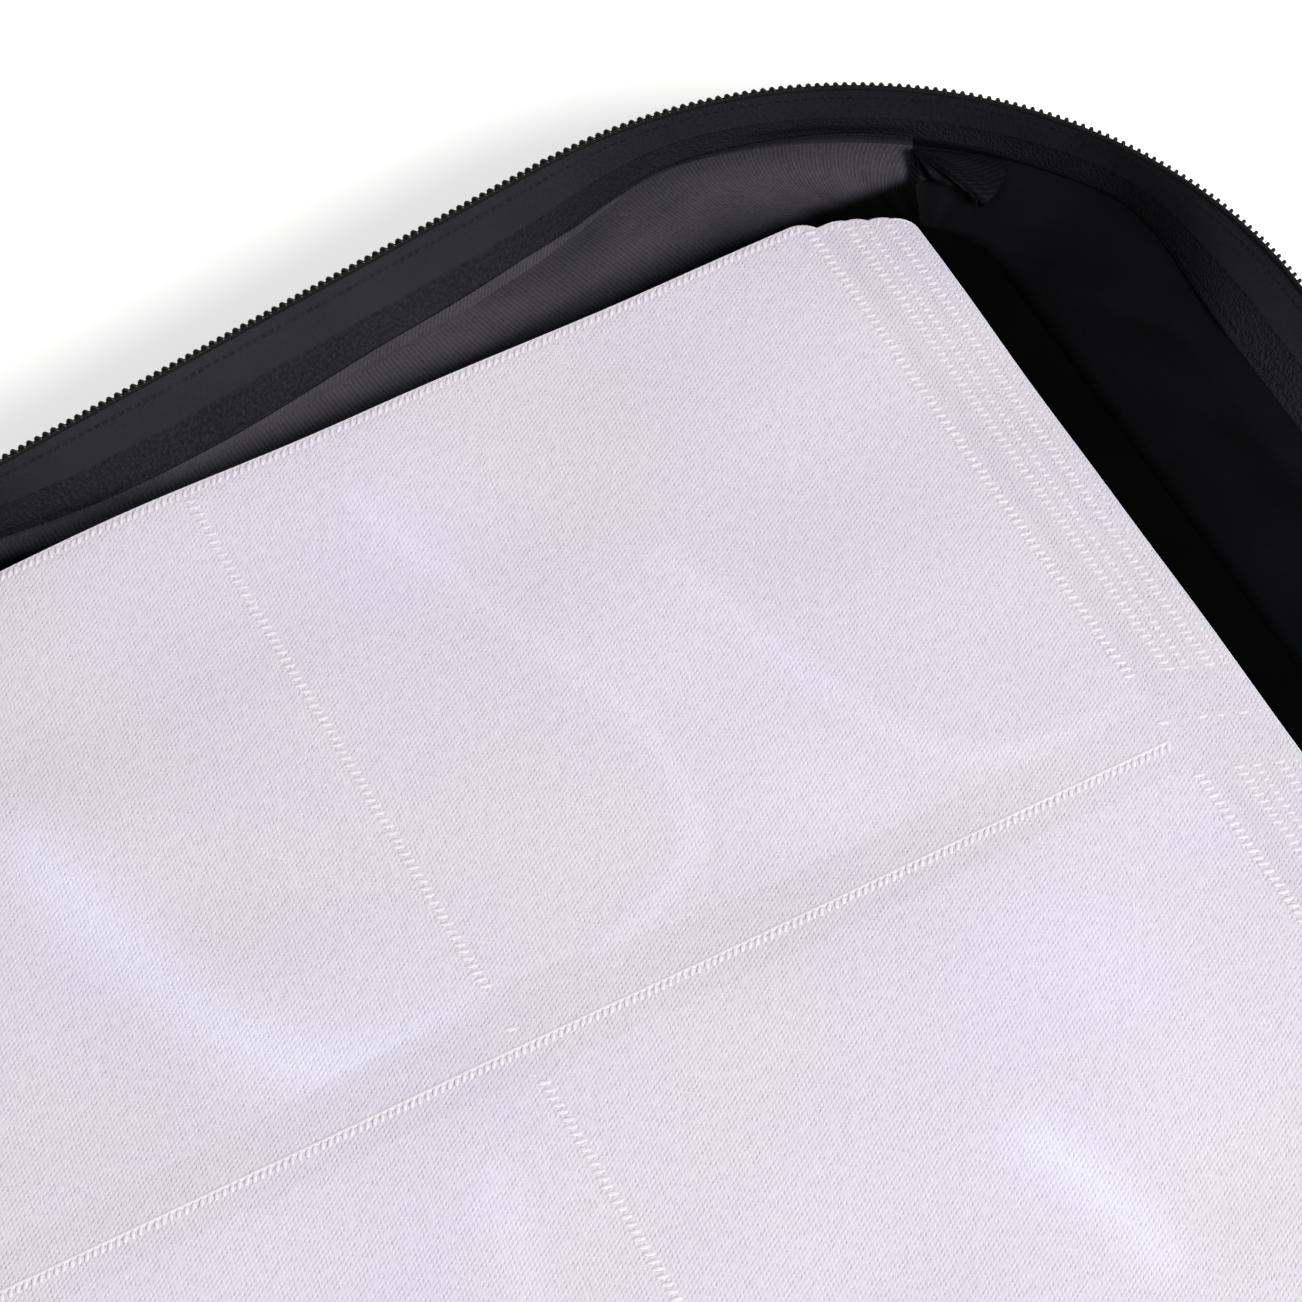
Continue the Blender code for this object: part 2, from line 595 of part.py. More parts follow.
def make_pull(name, side):
    """A pull tab hung on its slider's bail by the bar at its end."""
    bar = PULL_THICKNESS / 2
    half_width = PULL_WIDTH / 2
    neck = PULL_WINDOW_WIDTH / 2 + 2 * bar
    shoulder = bar + PULL_WINDOW_LENGTH + 2 * bar
    tip = []
    for step in range(ROUND_STEPS + 1):
        angle = math.pi * step / ROUND_STEPS - math.pi / 2
        tip.append((PULL_LENGTH - half_width + half_width * math.cos(angle),
                    half_width * math.sin(angle)))
    outline = [(-bar, -neck), (shoulder / 2, -neck), (shoulder, -half_width)] + tip
    outline += [(shoulder, half_width), (shoulder / 2, neck), (-bar, neck)]
    window = rectangle(bar, bar + PULL_WINDOW_LENGTH, -PULL_WINDOW_WIDTH / 2, PULL_WINDOW_WIDTH / 2)
    tab = flat_plate(name, [outline, window], -bar, bar, (0.02, 0.02, 0.022), 0.35, 0.6)
    tab.rotation_euler = (math.pi / 2, 0, 0)
    tab.location = (SLIDER_X, side * (slider_y() + PULL_STANDOFF), CLOSED_THICKNESS / 2)


clear_scene()
case = make_collection("cd_storage_case")
cutters = make_collection("cutters")
make_spine()
for label, half in (("back", 1), ("front", -1)):
    make_cover(label, half)
    make_walls(label, half)
    make_tape(label, half)
    make_coil(label, half)
    make_binding(label, half)
    for index in range(len(LEAF_HEIGHTS)):
        make_leaf(label, half, index)
    make_film(label, half, "upper")
    make_film(label, half, "lower")
    make_welds(label, half)
for place_name, side in (("head", 1), ("tail", -1)):
    make_slider(f"{place_name}_slider", side)
    make_pull(f"{place_name}_pull", side)
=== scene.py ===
import math

import bpy
import numpy as np
from mathutils import Matrix, Vector


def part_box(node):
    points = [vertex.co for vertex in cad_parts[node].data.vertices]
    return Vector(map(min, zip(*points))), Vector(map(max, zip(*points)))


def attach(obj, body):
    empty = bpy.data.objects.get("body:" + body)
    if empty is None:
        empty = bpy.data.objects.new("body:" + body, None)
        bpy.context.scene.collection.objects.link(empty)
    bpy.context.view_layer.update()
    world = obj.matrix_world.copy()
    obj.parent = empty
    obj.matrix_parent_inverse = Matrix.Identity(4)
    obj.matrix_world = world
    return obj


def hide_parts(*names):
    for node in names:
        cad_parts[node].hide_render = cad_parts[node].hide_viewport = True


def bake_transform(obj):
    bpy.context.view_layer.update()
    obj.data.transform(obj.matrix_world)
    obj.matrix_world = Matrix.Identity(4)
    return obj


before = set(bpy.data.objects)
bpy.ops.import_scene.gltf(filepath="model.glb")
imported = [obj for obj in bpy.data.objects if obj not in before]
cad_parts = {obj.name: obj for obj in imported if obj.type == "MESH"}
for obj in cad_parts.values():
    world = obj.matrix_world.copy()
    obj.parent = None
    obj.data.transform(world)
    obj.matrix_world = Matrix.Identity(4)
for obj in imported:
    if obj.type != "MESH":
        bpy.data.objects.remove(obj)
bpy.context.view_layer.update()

scene = bpy.context.scene
scene.view_settings.view_transform = "Standard"

MM = 0.001

# Sizes, most of them the same as in the part's source
POCKET_WIDTH = 132 * MM
PAGE_HEM = 2.5 * MM
PAGE_MARGIN = 11 * MM
PAGE_CORNER = 5.5 * MM
BEND = 8 * MM
LEAF_HEIGHTS = np.array((24.3, 20.8, 18.9, 16.1, 14.6)) * MM
LEAF_SHIFTS = np.array((0, 8.4, 11.8, 17.2, 19.8)) * MM
LEAF_FOOT = 6.4 * MM
PAGE_WIDTH = 277.5 * MM
PAGE_HALF = 140.5 * MM
FIRST_EDGE_X = 301.634 * MM
HINGE_X = 33.2 * MM
HEAD_Y = 150 * MM
FORE_X = 335.934 * MM
COVER_CORNER = 22 * MM
WALL_START = 37.2 * MM
WALL_FOOT = 0.6 * MM
WALL_THICKNESS = 0.8 * MM
TAPE_WIDTH = 16 * MM
TAPE_TOP = 31.65 * MM
TAPE_THICKNESS = 0.7 * MM
RIM_Y = 151 * MM
RIM_FORE_X = 368.834 * MM
RIM_RADIUS = 97.5 * MM
RIM_CORNER = (271.334 * MM, 74.4 * MM)
RIM_FLARE = math.radians(6.5)
RIM_TANGENT = (RIM_CORNER[0] - RIM_RADIUS * math.sin(RIM_FLARE),
               RIM_CORNER[1] + RIM_RADIUS * math.cos(RIM_FLARE))
COIL_START = 51 * MM
COIL_Z = 33 * MM
SEAM = 0.45
TOOTH_PITCH = 1.75 * MM
DOT_PITCH = 1.7 * MM
TICK_PITCH = 1.45 * MM
HALVES = (("back", 1), ("front", -1))

# How thick each visible sheet is
SKIN, BASE_LINING, WALL_LINING, TAPE, SLEEVE, FILM = np.array((0.5, 0.4, 0.45, 0.6, 0.4, 0.1)) * MM

# Weld marks on the sleeves: how long, wide and high they are, and their slant
DOT_SHAPE = (2.4 * MM, 1.0 * MM, 0.09 * MM)
DOT_SLANT = math.radians(-20)
TICK_SHAPE = (1.9 * MM, 0.85 * MM)
TICK_SLANT = math.radians(62)
WELD_HALF = 137.6 * MM
TICK_LEVEL = 139.1 * MM
INNER_WELD = PAGE_MARGIN + 10 * MM


# Camera, floor and light

def add_object(name, data):
    item = bpy.data.objects.new(name, data)
    scene.collection.objects.link(item)
    return item


def place_camera():
    azimuth, elevation, roll = -0.41310887, 0.94343464, -0.08737725
    back = Vector((math.sin(azimuth) * math.cos(elevation),
                   -math.cos(azimuth) * math.cos(elevation), math.sin(elevation)))
    right = Vector((0, 0, 1)).cross(back).normalized()
    up = back.cross(right)
    side = math.cos(roll) * right + math.sin(roll) * up
    top = math.cos(roll) * up - math.sin(roll) * right
    data = bpy.data.cameras.new("camera")
    data.sensor_width = 36
    data.lens = 165.04
    camera = add_object("camera", data)
    camera.matrix_world = Matrix.Translation((-0.03087, -0.5222, 0.9085)) @ Matrix(
        (side, top, back)).transposed().to_4x4()
    scene.camera = camera


def place_lamp(name, place, target, size, power, colour):
    data = bpy.data.lights.new(name, "AREA")
    data.shape = "DISK"
    data.size = size
    data.energy = power
    data.color = colour
    lamp = add_object(name, data)
    lamp.location = place
    lamp.rotation_euler = (Vector(target) - Vector(place)).to_track_quat("-Z", "Y").to_euler()


def set_stage():
    floor_mesh = bpy.data.meshes.new("floor")
    floor_mesh.from_pydata([(-6, -6, 0), (6, -6, 0), (6, 6, 0), (-6, 6, 0)], [], [(0, 1, 2, 3)])
    floor = add_object("floor", floor_mesh)
    floor.location.z = -0.3 * MM
    paint = Paint("floor")
    paint.set("Base Color", (0.93, 0.92, 0.9))
    paint.set("Roughness", 0.9)
    paint.set("Specular IOR Level", 0.1)
    shine = paint.node("ShaderNodeEmission")
    light_path = paint.node("ShaderNodeLightPath")
    paint.link(paint.times(light_path.outputs["Is Camera Ray"], 0.46), shine.inputs["Strength"])
    add = paint.node("ShaderNodeAddShader")
    paint.link(paint.shader.outputs[0], add.inputs[0])
    paint.link(shine.outputs[0], add.inputs[1])
    paint.link(add.outputs[0], paint.output.inputs["Surface"])
    floor_mesh.materials.append(paint.material)
    world = bpy.data.worlds.new("studio")
    world.use_nodes = True
    sky = world.node_tree.nodes["Background"].inputs
    sky["Color"].default_value = (0.96, 0.97, 1, 1)
    sky["Strength"].default_value = 0.28
    scene.world = world
    place_lamp("key", (0.75, -1.6, 1.3), (0.15, 0, 0), 1.0, 52, (1, 0.985, 0.965))
    place_lamp("top", (0.5, 0.1, 2.4), (0.15, 0, 0), 1.4, 7, (0.95, 0.97, 1))


# Materials

class Paint:
    """A material under construction, with short calls for its nodes."""

    def __init__(self, name):
        self.material = bpy.data.materials.new(name)
        self.material.use_nodes = True
        self.tree = self.material.node_tree
        self.shader = self.tree.nodes["Principled BSDF"]
        self.output = self.tree.nodes["Material Output"]

    def node(self, kind, **settings):
        made = self.tree.nodes.new(kind)
        for key, value in settings.items():
            setattr(made, key, value)
        return made

    def link(self, source, target):
        self.tree.links.new(source, target)

    def feed(self, socket, value):
        """Link a socket, or set it. A colour of three numbers is opaque."""
        if isinstance(value, bpy.types.NodeSocket):
            self.link(value, socket)
        else:
            socket.default_value = (*value, 1) if isinstance(value, tuple) and len(value) == 3 else value

    def set(self, name, value):
        self.feed(self.shader.inputs[name], value)

    def math(self, operation, first, second=0.0, third=0.0):
        made = self.node("ShaderNodeMath", operation=operation)
        for socket, value in zip(made.inputs, (first, second, third)):
            self.feed(socket, value)
        return made.outputs[0]

    def times(self, first, second):
        return self.math("MULTIPLY", first, second)

    def scaled(self, value, factor, plus):
        return self.math("MULTIPLY_ADD", value, factor, plus)

    def mix(self, share, first, second):
        made = self.node("ShaderNodeMix", data_type="RGBA")
        self.feed(made.inputs[0], share)
        self.feed(made.inputs[6], first)
        self.feed(made.inputs[7], second)
        return made.outputs[2]

    def cloth_place(self):
        """Distances along and across the cloth, in metres."""
        uv = self.node("ShaderNodeUVMap", uv_map="cloth")
        split = self.node("ShaderNodeSeparateXYZ")
        self.link(uv.outputs[0], split.inputs[0])
        return uv.outputs[0], split.outputs[0], split.outputs[1]

    def mark(self, name):
        """A value kept with the mesh, such as the painted highlight of the film's glare on a sleeve."""
        return self.node("ShaderNodeAttribute", attribute_name=name).outputs["Fac"]

    def noise(self, place, size, detail=2.0, roughness=0.5):
        """Noise with features about this size, in metres, from 0 to 1."""
        made = self.node("ShaderNodeTexNoise")
        for name, value in (("Vector", place), ("Scale", 1 / size), ("Detail", detail), ("Roughness", roughness)):
            self.feed(made.inputs[name], value)
        return made.outputs[0]

    def wave(self, distance, pitch):
        """A sine wave from 0 to 1."""
        return self.scaled(self.math("SINE", self.times(distance, 2 * math.pi / pitch)), 0.5, 0.5)

    def slanted(self, along, across, angle):
        return self.scaled(across, math.sin(angle), self.times(along, math.cos(angle)))

    def spread(self, value, low, high, to_low=0.0, to_high=1.0, kind="LINEAR"):
        """A value's range carried over to another range, and held inside it."""
        made = self.node("ShaderNodeMapRange", interpolation_type=kind)
        for socket, number in zip(made.inputs, (value, low, high, to_low, to_high)):
            self.feed(socket, number)
        return made.outputs[0]

    def line(self, distance, centre, half_width, soft):
        """1 on a line, falling to 0 beside it."""
        off = self.math("ABSOLUTE", self.math("SUBTRACT", distance, centre))
        return self.spread(off, half_width, half_width + soft, 1, 0, "SMOOTHSTEP")

    def dashes(self, along, pitch, share):
        place = self.math("FRACT", self.math("DIVIDE", along, pitch))
        return self.line(place, 0.5, share / 2 - 0.06, 0.12)

    def cover(self, colour, roughness, shine, height, depth):
        """Set what every surface here has, and give the material."""
        self.set("Base Color", colour)
        self.set("Roughness", roughness)
        self.set("Specular IOR Level", shine)
        bump = self.node("ShaderNodeBump")
        for name, value in (("Strength", 1), ("Distance", depth), ("Height", height)):
            self.feed(bump.inputs[name], value)
        self.set("Normal", bump.outputs[0])
        return self.material


def woven(name, dark, light, pitch, angle, roughness, depth=0.12 * MM, mottling=0.5, sheen=0.0,
          cross=0.35, shine=0.25, faint_lines_and_painted_shade=False):
    """Twill or plain cloth: slanted lines crossed by finer threads, with soft mottling."""
    paint = Paint(name)
    angle = math.radians(angle)
    place, along, across = paint.cloth_place()
    lines = paint.wave(paint.slanted(along, across, angle), pitch)
    threads = paint.wave(paint.slanted(along, across, angle + math.pi / 2), pitch * 1.4)
    height = paint.scaled(threads, cross, lines)
    cloud = paint.noise(place, 14 * MM, 3)
    grain = paint.noise(place, 0.8 * MM, 2)
    tone = paint.scaled(height, 0.12 if faint_lines_and_painted_shade else 0.3, paint.times(cloud, mottling))
    tone = paint.scaled(grain, 0.3, tone)
    colour = paint.mix(paint.spread(tone, 0.15, 1.0), dark, light)
    # Painted shade: the colour goes to near black where the mesh's shade mark is high.
    if faint_lines_and_painted_shade:
        colour = paint.mix(paint.mark("shade"), colour, (0.0006, 0.0006, 0.0008))
    paint.set("Sheen Weight", sheen)
    return paint.cover(colour, roughness, shine, paint.scaled(grain, 0.5, height), depth)


def smooth_cloth(name, dark, light, roughness, shine=0.12):
    """Close-woven lining with a soft bloom and no lines."""
    paint = Paint(name)
    place = paint.cloth_place()[0]
    grain = paint.noise(place, 0.7 * MM, 3, 0.6)
    tone = paint.spread(paint.scaled(grain, 0.35, paint.noise(place, 24 * MM, 3)), 0.35, 1.0)
    return paint.cover(paint.mix(tone, dark, light), roughness, shine, grain, 0.05 * MM)


def tape_paint():
    """Zip tape: fine weave, a dashed row under the coil, a seam, a rougher lower band, and painted shade under
    its pucker.
    """
    paint = Paint("zip_tape")
    place, along, across = paint.cloth_place()
    weave = paint.times(paint.wave(along, 0.55 * MM), paint.wave(across, 0.5 * MM))
    speckle = paint.spread(paint.noise(place, 0.75 * MM, 1, 0.6), 0.32, 0.68)
    cloud = paint.noise(place, 22 * MM, 3)
    rough = paint.times(speckle, paint.spread(across, 7.4 * MM, 6.6 * MM))
    stitches = 0.0
    for centre, half_width, soft, pitch, share in (
            (13.6 * MM, 0.22 * MM, 0.2 * MM, TOOTH_PITCH, 0.62),
            (7.1 * MM, 0.2 * MM, 0.25 * MM, 2.6 * MM, 0.8),
            (1.5 * MM, 0.2 * MM, 0.25 * MM, 2.4 * MM, 0.78)):
        row = paint.times(paint.line(across, centre, half_width, soft), paint.dashes(along, pitch, share))
        stitches = paint.math("MAXIMUM", stitches, row)
    worn = paint.spread(paint.noise(place, 4 * MM, 2), 0.35, 0.65, 0.25, 0.85)
    marks = paint.times(worn, stitches)
    tone = paint.scaled(weave, 0.22, paint.times(cloud, 0.75))
    tone = paint.scaled(rough, -0.65, tone)
    tone = paint.scaled(speckle, 0.46, tone)
    cloth = paint.mix(paint.spread(tone, 0.05, 1.0), (0.0055, 0.0052, 0.0078), (0.0198, 0.0185, 0.024))
    # Painted shade: near black where the shade mark follows the tape's pucker near the corner seam.
    cloth = paint.mix(paint.mark("shade"), cloth, (0.002, 0.002, 0.003))
    height = paint.scaled(weave, 0.35, paint.times(rough, -1.4))
    return paint.cover(paint.mix(marks, cloth, (0.005, 0.005, 0.0065)), paint.spread(speckle, 0, 1, 0.7, 0.95),
                       0.22, paint.scaled(marks, -0.8, height), 0.14 * MM)


def sleeve_paint():
    """Embossed nonwoven: staggered rows of short dashes, and faint rosy and bluish clouds."""
    paint = Paint("sleeve")
    place, along, across = paint.cloth_place()
    slant = math.radians(55)
    length, width = 1.9 * MM, 0.86 * MM
    first = paint.slanted(along, across, slant)
    second = paint.slanted(along, across, slant + math.pi / 2)
    dots = paint.times(paint.wave(first, length), paint.wave(second, width))
    other = paint.times(paint.wave(paint.math("ADD", first, length / 2), length),
                       paint.wave(paint.math("ADD", second, width / 2), width))
    emboss = paint.spread(paint.math("MAXIMUM", dots, other), 0.3, 0.9)
    cloud = paint.spread(paint.noise(place, 75 * MM, 1), 0.35, 0.65)
    haze = paint.spread(paint.noise(place, 30 * MM, 2), 0.3, 0.7)
    fibre = paint.noise(place, 2.4 * MM, 2, 0.65)
    colour = paint.mix(cloud, (0.715, 0.65, 0.72), (0.68, 0.65, 0.74))
    colour = paint.mix(paint.times(haze, 0.4), colour, (0.73, 0.695, 0.76))
    uneven = paint.spread(paint.noise(place, 1.5 * MM, 2), 0.35, 0.65, 0.2, 1)
    press = paint.times(emboss, uneven)
    colour = paint.mix(paint.times(press, 0.32), colour, (0.53, 0.48, 0.57))
    colour = paint.mix(paint.spread(fibre, 0.3, 0.7, 0, 0.2), colour, (0.85, 0.82, 0.87))
    # Painted highlight: the film's glare, painted as a pale bluish brightening along the top sleeve's folds.
    colour = paint.mix(paint.mark("painted_glare"), colour, (0.79, 0.8, 0.9))
    height = paint.scaled(press, -1.0, paint.times(fibre, 0.8))
    return paint.cover(colour, 0.62, 0.3, height, 0.09 * MM)


def film_paint():
    """Clear film with a soft gloss."""
    paint = Paint("film")
    place = paint.cloth_place()[0]
    paint.set("Alpha", 0.05)
    return paint.cover((0.82, 0.8, 0.87), paint.spread(paint.noise(place, 60 * MM, 1), 0.4, 0.7, 0.42, 0.3), 0.5,
                       paint.noise(place, 22 * MM, 1), 0.3 * MM)


def speckled(name, dark, light, size, roughness, depth, detail=2, rough=0.5, shine=0.5, metallic=0.0):
    """A hard or fused surface, mottled. Its roughness is one number, or a range that follows the mottling."""
    paint = Paint(name)
    cloud = paint.noise(paint.node("ShaderNodeTexCoord").outputs["Object"], size, detail, rough)
    if isinstance(roughness, tuple):
        roughness = paint.spread(cloud, 0.3, 0.7, *roughness)
    paint.set("Metallic", metallic)
    return paint.cover(paint.mix(cloud, dark, light), roughness, shine, cloud, depth)


# Meshes

def mix(start, end, share):
    return start + (end - start) * share


def ease(share):
    share = np.clip(share, 0, 1)
    return share * share * (3 - 2 * share)


def ripple(first, second, size, seed, count=6):
    """A soft uneven surface between about -1 and 1, with waves about this long."""
    dice = np.random.default_rng(seed)
    total = 0
    for _ in range(count):
        angle = dice.uniform(0, math.pi)
        number = 2 * math.pi / (size * dice.uniform(0.7, 1.5))
        phase = dice.uniform(0, 2 * math.pi)
        total = total + np.sin(number * (first * math.cos(angle) + second * math.sin(angle)) + phase)
    return total / math.sqrt(count) / 1.4


def unit(vectors):
    return vectors / np.maximum(np.linalg.norm(vectors, axis=-1, keepdims=True), 1e-12)


def outward(ahead):
    """Square to a level line, to its left."""
    return np.stack((-ahead[:, 1], ahead[:, 0], np.zeros(len(ahead))), -1)


def read_at(along, marks, values):
    """A table of values, read at these places between its marks."""
    return np.stack([np.interp(along, marks, column) for column in values.T], -1)


def round_grid(run, end, radius, steps, width, count):
    """A flat grid whose two far corners are rounded."""
    along = np.concatenate((run, end - radius * (1 - np.sin(np.linspace(0, math.pi / 2, steps)))))
    past = np.clip((along - (end - radius)) / radius, 0, 1)
    reach = width - radius * (1 - np.sqrt(1 - past ** 2))
    across = reach[:, None] * np.linspace(-1, 1, count)
    return along[:, None] + 0 * across, across


def quads(index):
    return np.stack((index[:-1, :-1], index[1:, :-1], index[1:, 1:], index[:-1, 1:]), -1).reshape(-1, 4)


def grid_faces(rows, columns, start=0, flip=False):
    faces = quads(np.arange(rows * columns).reshape(rows, columns) + start)
    return faces[:, ::-1] if flip else faces


def tube_faces(rows, sides, flip=False):
    """Faces of a tube, with a cap on each end."""
    index = np.arange(rows * sides).reshape(rows, sides)
    caps = [index[0], index[-1, ::-1]]
    faces = quads(np.concatenate((index, index[:, :1]), 1))
    if flip:
        faces = np.roll(faces[:, ::-1], 1, axis=1)
        caps = [cap[::-1] for cap in caps]
    return faces.tolist() + [cap.tolist() for cap in caps]


def on_half(points, half):
    """Points worked out for the back half, carried over to the half that is being made."""
    return points * np.array((half, 1, 1))


def sheet_mesh(name, points, places, thickness, paint, marks=None):
    """A closed thin sheet round a grid of points. Places are flat distances for its cloth."""
    rows, columns = points.shape[:2]
    normal = unit(np.cross(np.gradient(points, axis=0), np.gradient(points, axis=1))) * thickness / 2
    corners = np.concatenate(((points + normal).reshape(-1, 3), (points - normal).reshape(-1, 3)))
    count = rows * columns
    faces = [grid_faces(rows, columns), grid_faces(rows, columns, count, True)]
    index = np.arange(count).reshape(rows, columns)
    border = np.concatenate((index[0, :], index[1:, -1], index[-1, -2::-1], index[-2:0:-1, 0]))
    following = np.roll(border, -1)
    faces.append(np.stack((border, following, following + count, border + count), -1))
    places = np.concatenate((places.reshape(-1, 2),) * 2)
    item = finish_mesh(name, corners, np.concatenate(faces).tolist(), places, paint)
    for key, values in (marks or {}).items():
        layer = item.data.attributes.new(key, "FLOAT", "POINT")
        layer.data.foreach_set("value", np.concatenate((values.reshape(-1),) * 2).astype(np.float32))
    return item


def finish_mesh(name, corners, faces, places, paint, sharp=40):
    mesh = bpy.data.meshes.new(name)
    mesh.from_pydata(np.reshape(corners, (-1, 3)).tolist(), [], faces)
    if places is not None:
        layer = mesh.uv_layers.new(name="cloth")
        loops = np.empty(len(mesh.loops), np.int32)
        mesh.loops.foreach_get("vertex_index", loops)
        layer.data.foreach_set("uv", np.reshape(places, (-1, 2)).astype(np.float32)[loops].ravel())
    mesh.materials.append(paint)
    mesh.shade_smooth()
    mesh.set_sharp_from_angle(angle=math.radians(sharp))
    mesh.validate()
    return add_object(name, mesh)


def dress(item, label, slot, *nodes, body=None):
    """Attach a piece to the body it rides on, its half's cover or another, and hide the CAD nodes it stands for.
    """
    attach(item, body or f"{label}_cover")
    if nodes:
        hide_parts(*nodes)
    return item


def span_hinge(item):
    """Bake a sheet's placement into its mesh; the sheet is not bent at the hinge."""
    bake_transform(item)


def round_line(line, side, other, radius, turns):
    """Rings of points round a line."""
    turns = turns[:, None]
    return line[:, None] + radius * (np.cos(turns) * side[:, None] + np.sin(turns) * other[:, None])


def lengths(points):
    """Distance travelled along the first axis of a grid of points."""
    steps = np.linalg.norm(np.diff(points, axis=0), axis=-1)
    return np.concatenate((np.zeros((1, *steps.shape[1:])), np.cumsum(steps, axis=0)))


# Walls and zip. Every line round the case is read at the same stations.

def rim_point(part, share, inset=0.0):
    if part == "head":
        x = mix(WALL_START, RIM_TANGENT[0], share)
        flare = RIM_TANGENT[1] + (x - RIM_TANGENT[0]) * math.tan(RIM_FLARE) - RIM_Y
        return x, RIM_Y + (flare + math.hypot(flare, 3 * MM)) / 2 - inset
    if part == "corner":
        angle = (math.pi / 2 + RIM_FLARE) * (1 - share)
        radius = RIM_RADIUS - inset
        return RIM_CORNER[0] + radius * math.cos(angle), RIM_CORNER[1] + radius * math.sin(angle)
    return RIM_FORE_X - inset, RIM_CORNER[1] * (1 - share)


def tape_foot(part, share):
    slope = 1
    if part == "head":
        slope = ease((share - 0.36) / 0.26) * (1 - ease((share - 0.82) / 0.36))
    if part == "corner":
        slope = 1 - ease((share + 0.18) / 0.36) + ease((share - 0.68) / 0.32)
    lean_in = 2 * MM * ease(share / 0.2) * ease((0.9 - share) / 0.2) * (part == "corner")
    inset = 12 * MM * slope - lean_in
    x, y = rim_point(part, share, inset)
    return x, y, TAPE_TOP - math.sqrt(TAPE_WIDTH ** 2 - inset ** 2)


def foot_point(part, share):
    corner_x = FORE_X - COVER_CORNER
    corner_y = HEAD_Y - COVER_CORNER
    if part == "head":
        return mix(WALL_START, corner_x, share), HEAD_Y, 0, 1
    if part == "corner":
        angle = math.pi / 2 * (1 - share)
        out_x, out_y = math.cos(angle), math.sin(angle)
        return corner_x + COVER_CORNER * out_x, corner_y + COVER_CORNER * out_y, out_x, out_y
    return FORE_X, corner_y * (1 - share), 1, 0


def stations(parts):
    """Stations as (part, share) from (part, start, end, count) runs."""
    made = []
    for part, start, end, count in parts:
        run = [(part, mix(start, end, step / count)) for step in range(count + 1)]
        made += run[1:] if made else run
    return made


def mirrored(points):
    """Carry a grid of points round the other end of the case."""
    other = points[-2::-1] * np.array((1, -1, 1))
    return np.concatenate((points, other))


def wall_grid(places, rises, bulge_of):
    """Points on a wall. The bulge is measured square to the wall's slope."""
    rows = []
    for part, share in places:
        foot_x, foot_y, out_x, out_y = foot_point(part, share)
        head_x, head_y, head_z = tape_foot(part, share)
        height = head_z - 0.3 * MM - (WALL_THICKNESS + TAPE_THICKNESS) / 2 - WALL_FOOT
        spread = (head_x - foot_x) * out_x + (head_y - foot_y) * out_y
        length = math.hypot(height, spread)
        bulge = bulge_of(part, share, rises)
        level = bulge * height / length
        rows.append(np.stack((mix(foot_x, head_x, rises) + level * out_x,
                              mix(foot_y, head_y, rises) + level * out_y,
                              WALL_FOOT + height * rises - bulge * spread / length), -1))
    return np.array(rows)


def wall_places(points):
    along = lengths(points)[:, points.shape[1] // 2]
    across = lengths(points.transpose(1, 0, 2)).T
    return np.stack((np.broadcast_to(along[:, None], across.shape), across), -1)


SIDES = {
    "head": [("head", 0, 1, 110), ("corner", 0, SEAM, 36)],
    "fore": [("corner", SEAM, 1, 48), ("fore", 0, 1, 36)],
}


def side_stations(side):
    return stations(SIDES["fore" if side == "fore" else "head"])


def whole_side(points, side):
    """A wall's grid, mirrored to the whole fore side or carried over to the tail."""
    if side == "fore":
        return mirrored(points)
    return points * np.array((1, -1, 1)) if side == "tail" else points


def walk(part, share):
    """A rough distance round the rim, for folds that vary along it."""
    return {"head": share * 0.223, "corner": 0.223 + share * 0.164, "fore": 0.387 + share * 0.074}[part]


def gusset_bulge(part, share, rises):
    shape = 1.6 * MM * np.interp(rises, (0, 0.35, 0.7, 1), (0, 1, 0.75, 0))
    return shape + 0.25 * MM * ripple(walk(part, share), rises * 0.02, 0.05, 3) * np.sin(math.pi * rises)


# How far a lining stands in from its wall, in mm: where it is slack, along the head, and elsewhere
SLACK_SAG = ((0, 0.1, 0.3, 0.55, 0.78, 0.92, 1.03), (0.6, 1.2, 2.6, 4.6, 5.4, 3.8, 1.5))
CLOSE_SAG = ((0, 0.05, 0.12, 0.3, 0.55, 0.8, 1.03), (1.2, 2.8, 3.4, 3.3, 3.1, 2.8, 1.2))


def lining_bulge(part, share, rises):
    place = walk(part, share)
    slack = float(ease((0.3 - place) / 0.03))
    sag = mix(np.interp(rises, *CLOSE_SAG), np.interp(rises, *SLACK_SAG), slack) * MM
    soft = ripple(place, rises * 0.018, 0.06, 5) * 0.45 * MM
    near_seam = math.exp(-((place - 0.29) / 0.025) ** 2)
    fold = ripple(place * 2.2, rises * 0.01, 0.02, 8) * 0.5 * MM * near_seam
    return -sag + (soft + fold) * np.sin(math.pi * np.clip(rises, 0, 1)) ** 0.7


LINING_RISES = np.linspace(0.02, 1.03, 32)
# Below this rise the head lining is painted near black as painted shade: places along the rim, and rises
SHADE_EDGE = ((0.13, 0.15, 0.168, 0.184, 0.2, 0.215, 0.243, 0.263, 0.283, 0.296),
              (0.92, 0.84, 0.76, 0.66, 0.55, 0.45, 0.34, 0.38, 0.53, 0.69))
# How far the lining's upper edge laps onto the tape, as a share of the tape
LINING_LAP = ((0.09, 0.123, 0.145, 0.156, 0.168, 0.178, 0.212, 0.223, 0.231, 0.24, 0.256, 0.285, 0.33),
              (0.04, 0.08, 0.06, 0.08, 0.12, 0.15, 0.18, 0.14, 0.11, 0.05, 0.1, 0.19, 0.05))


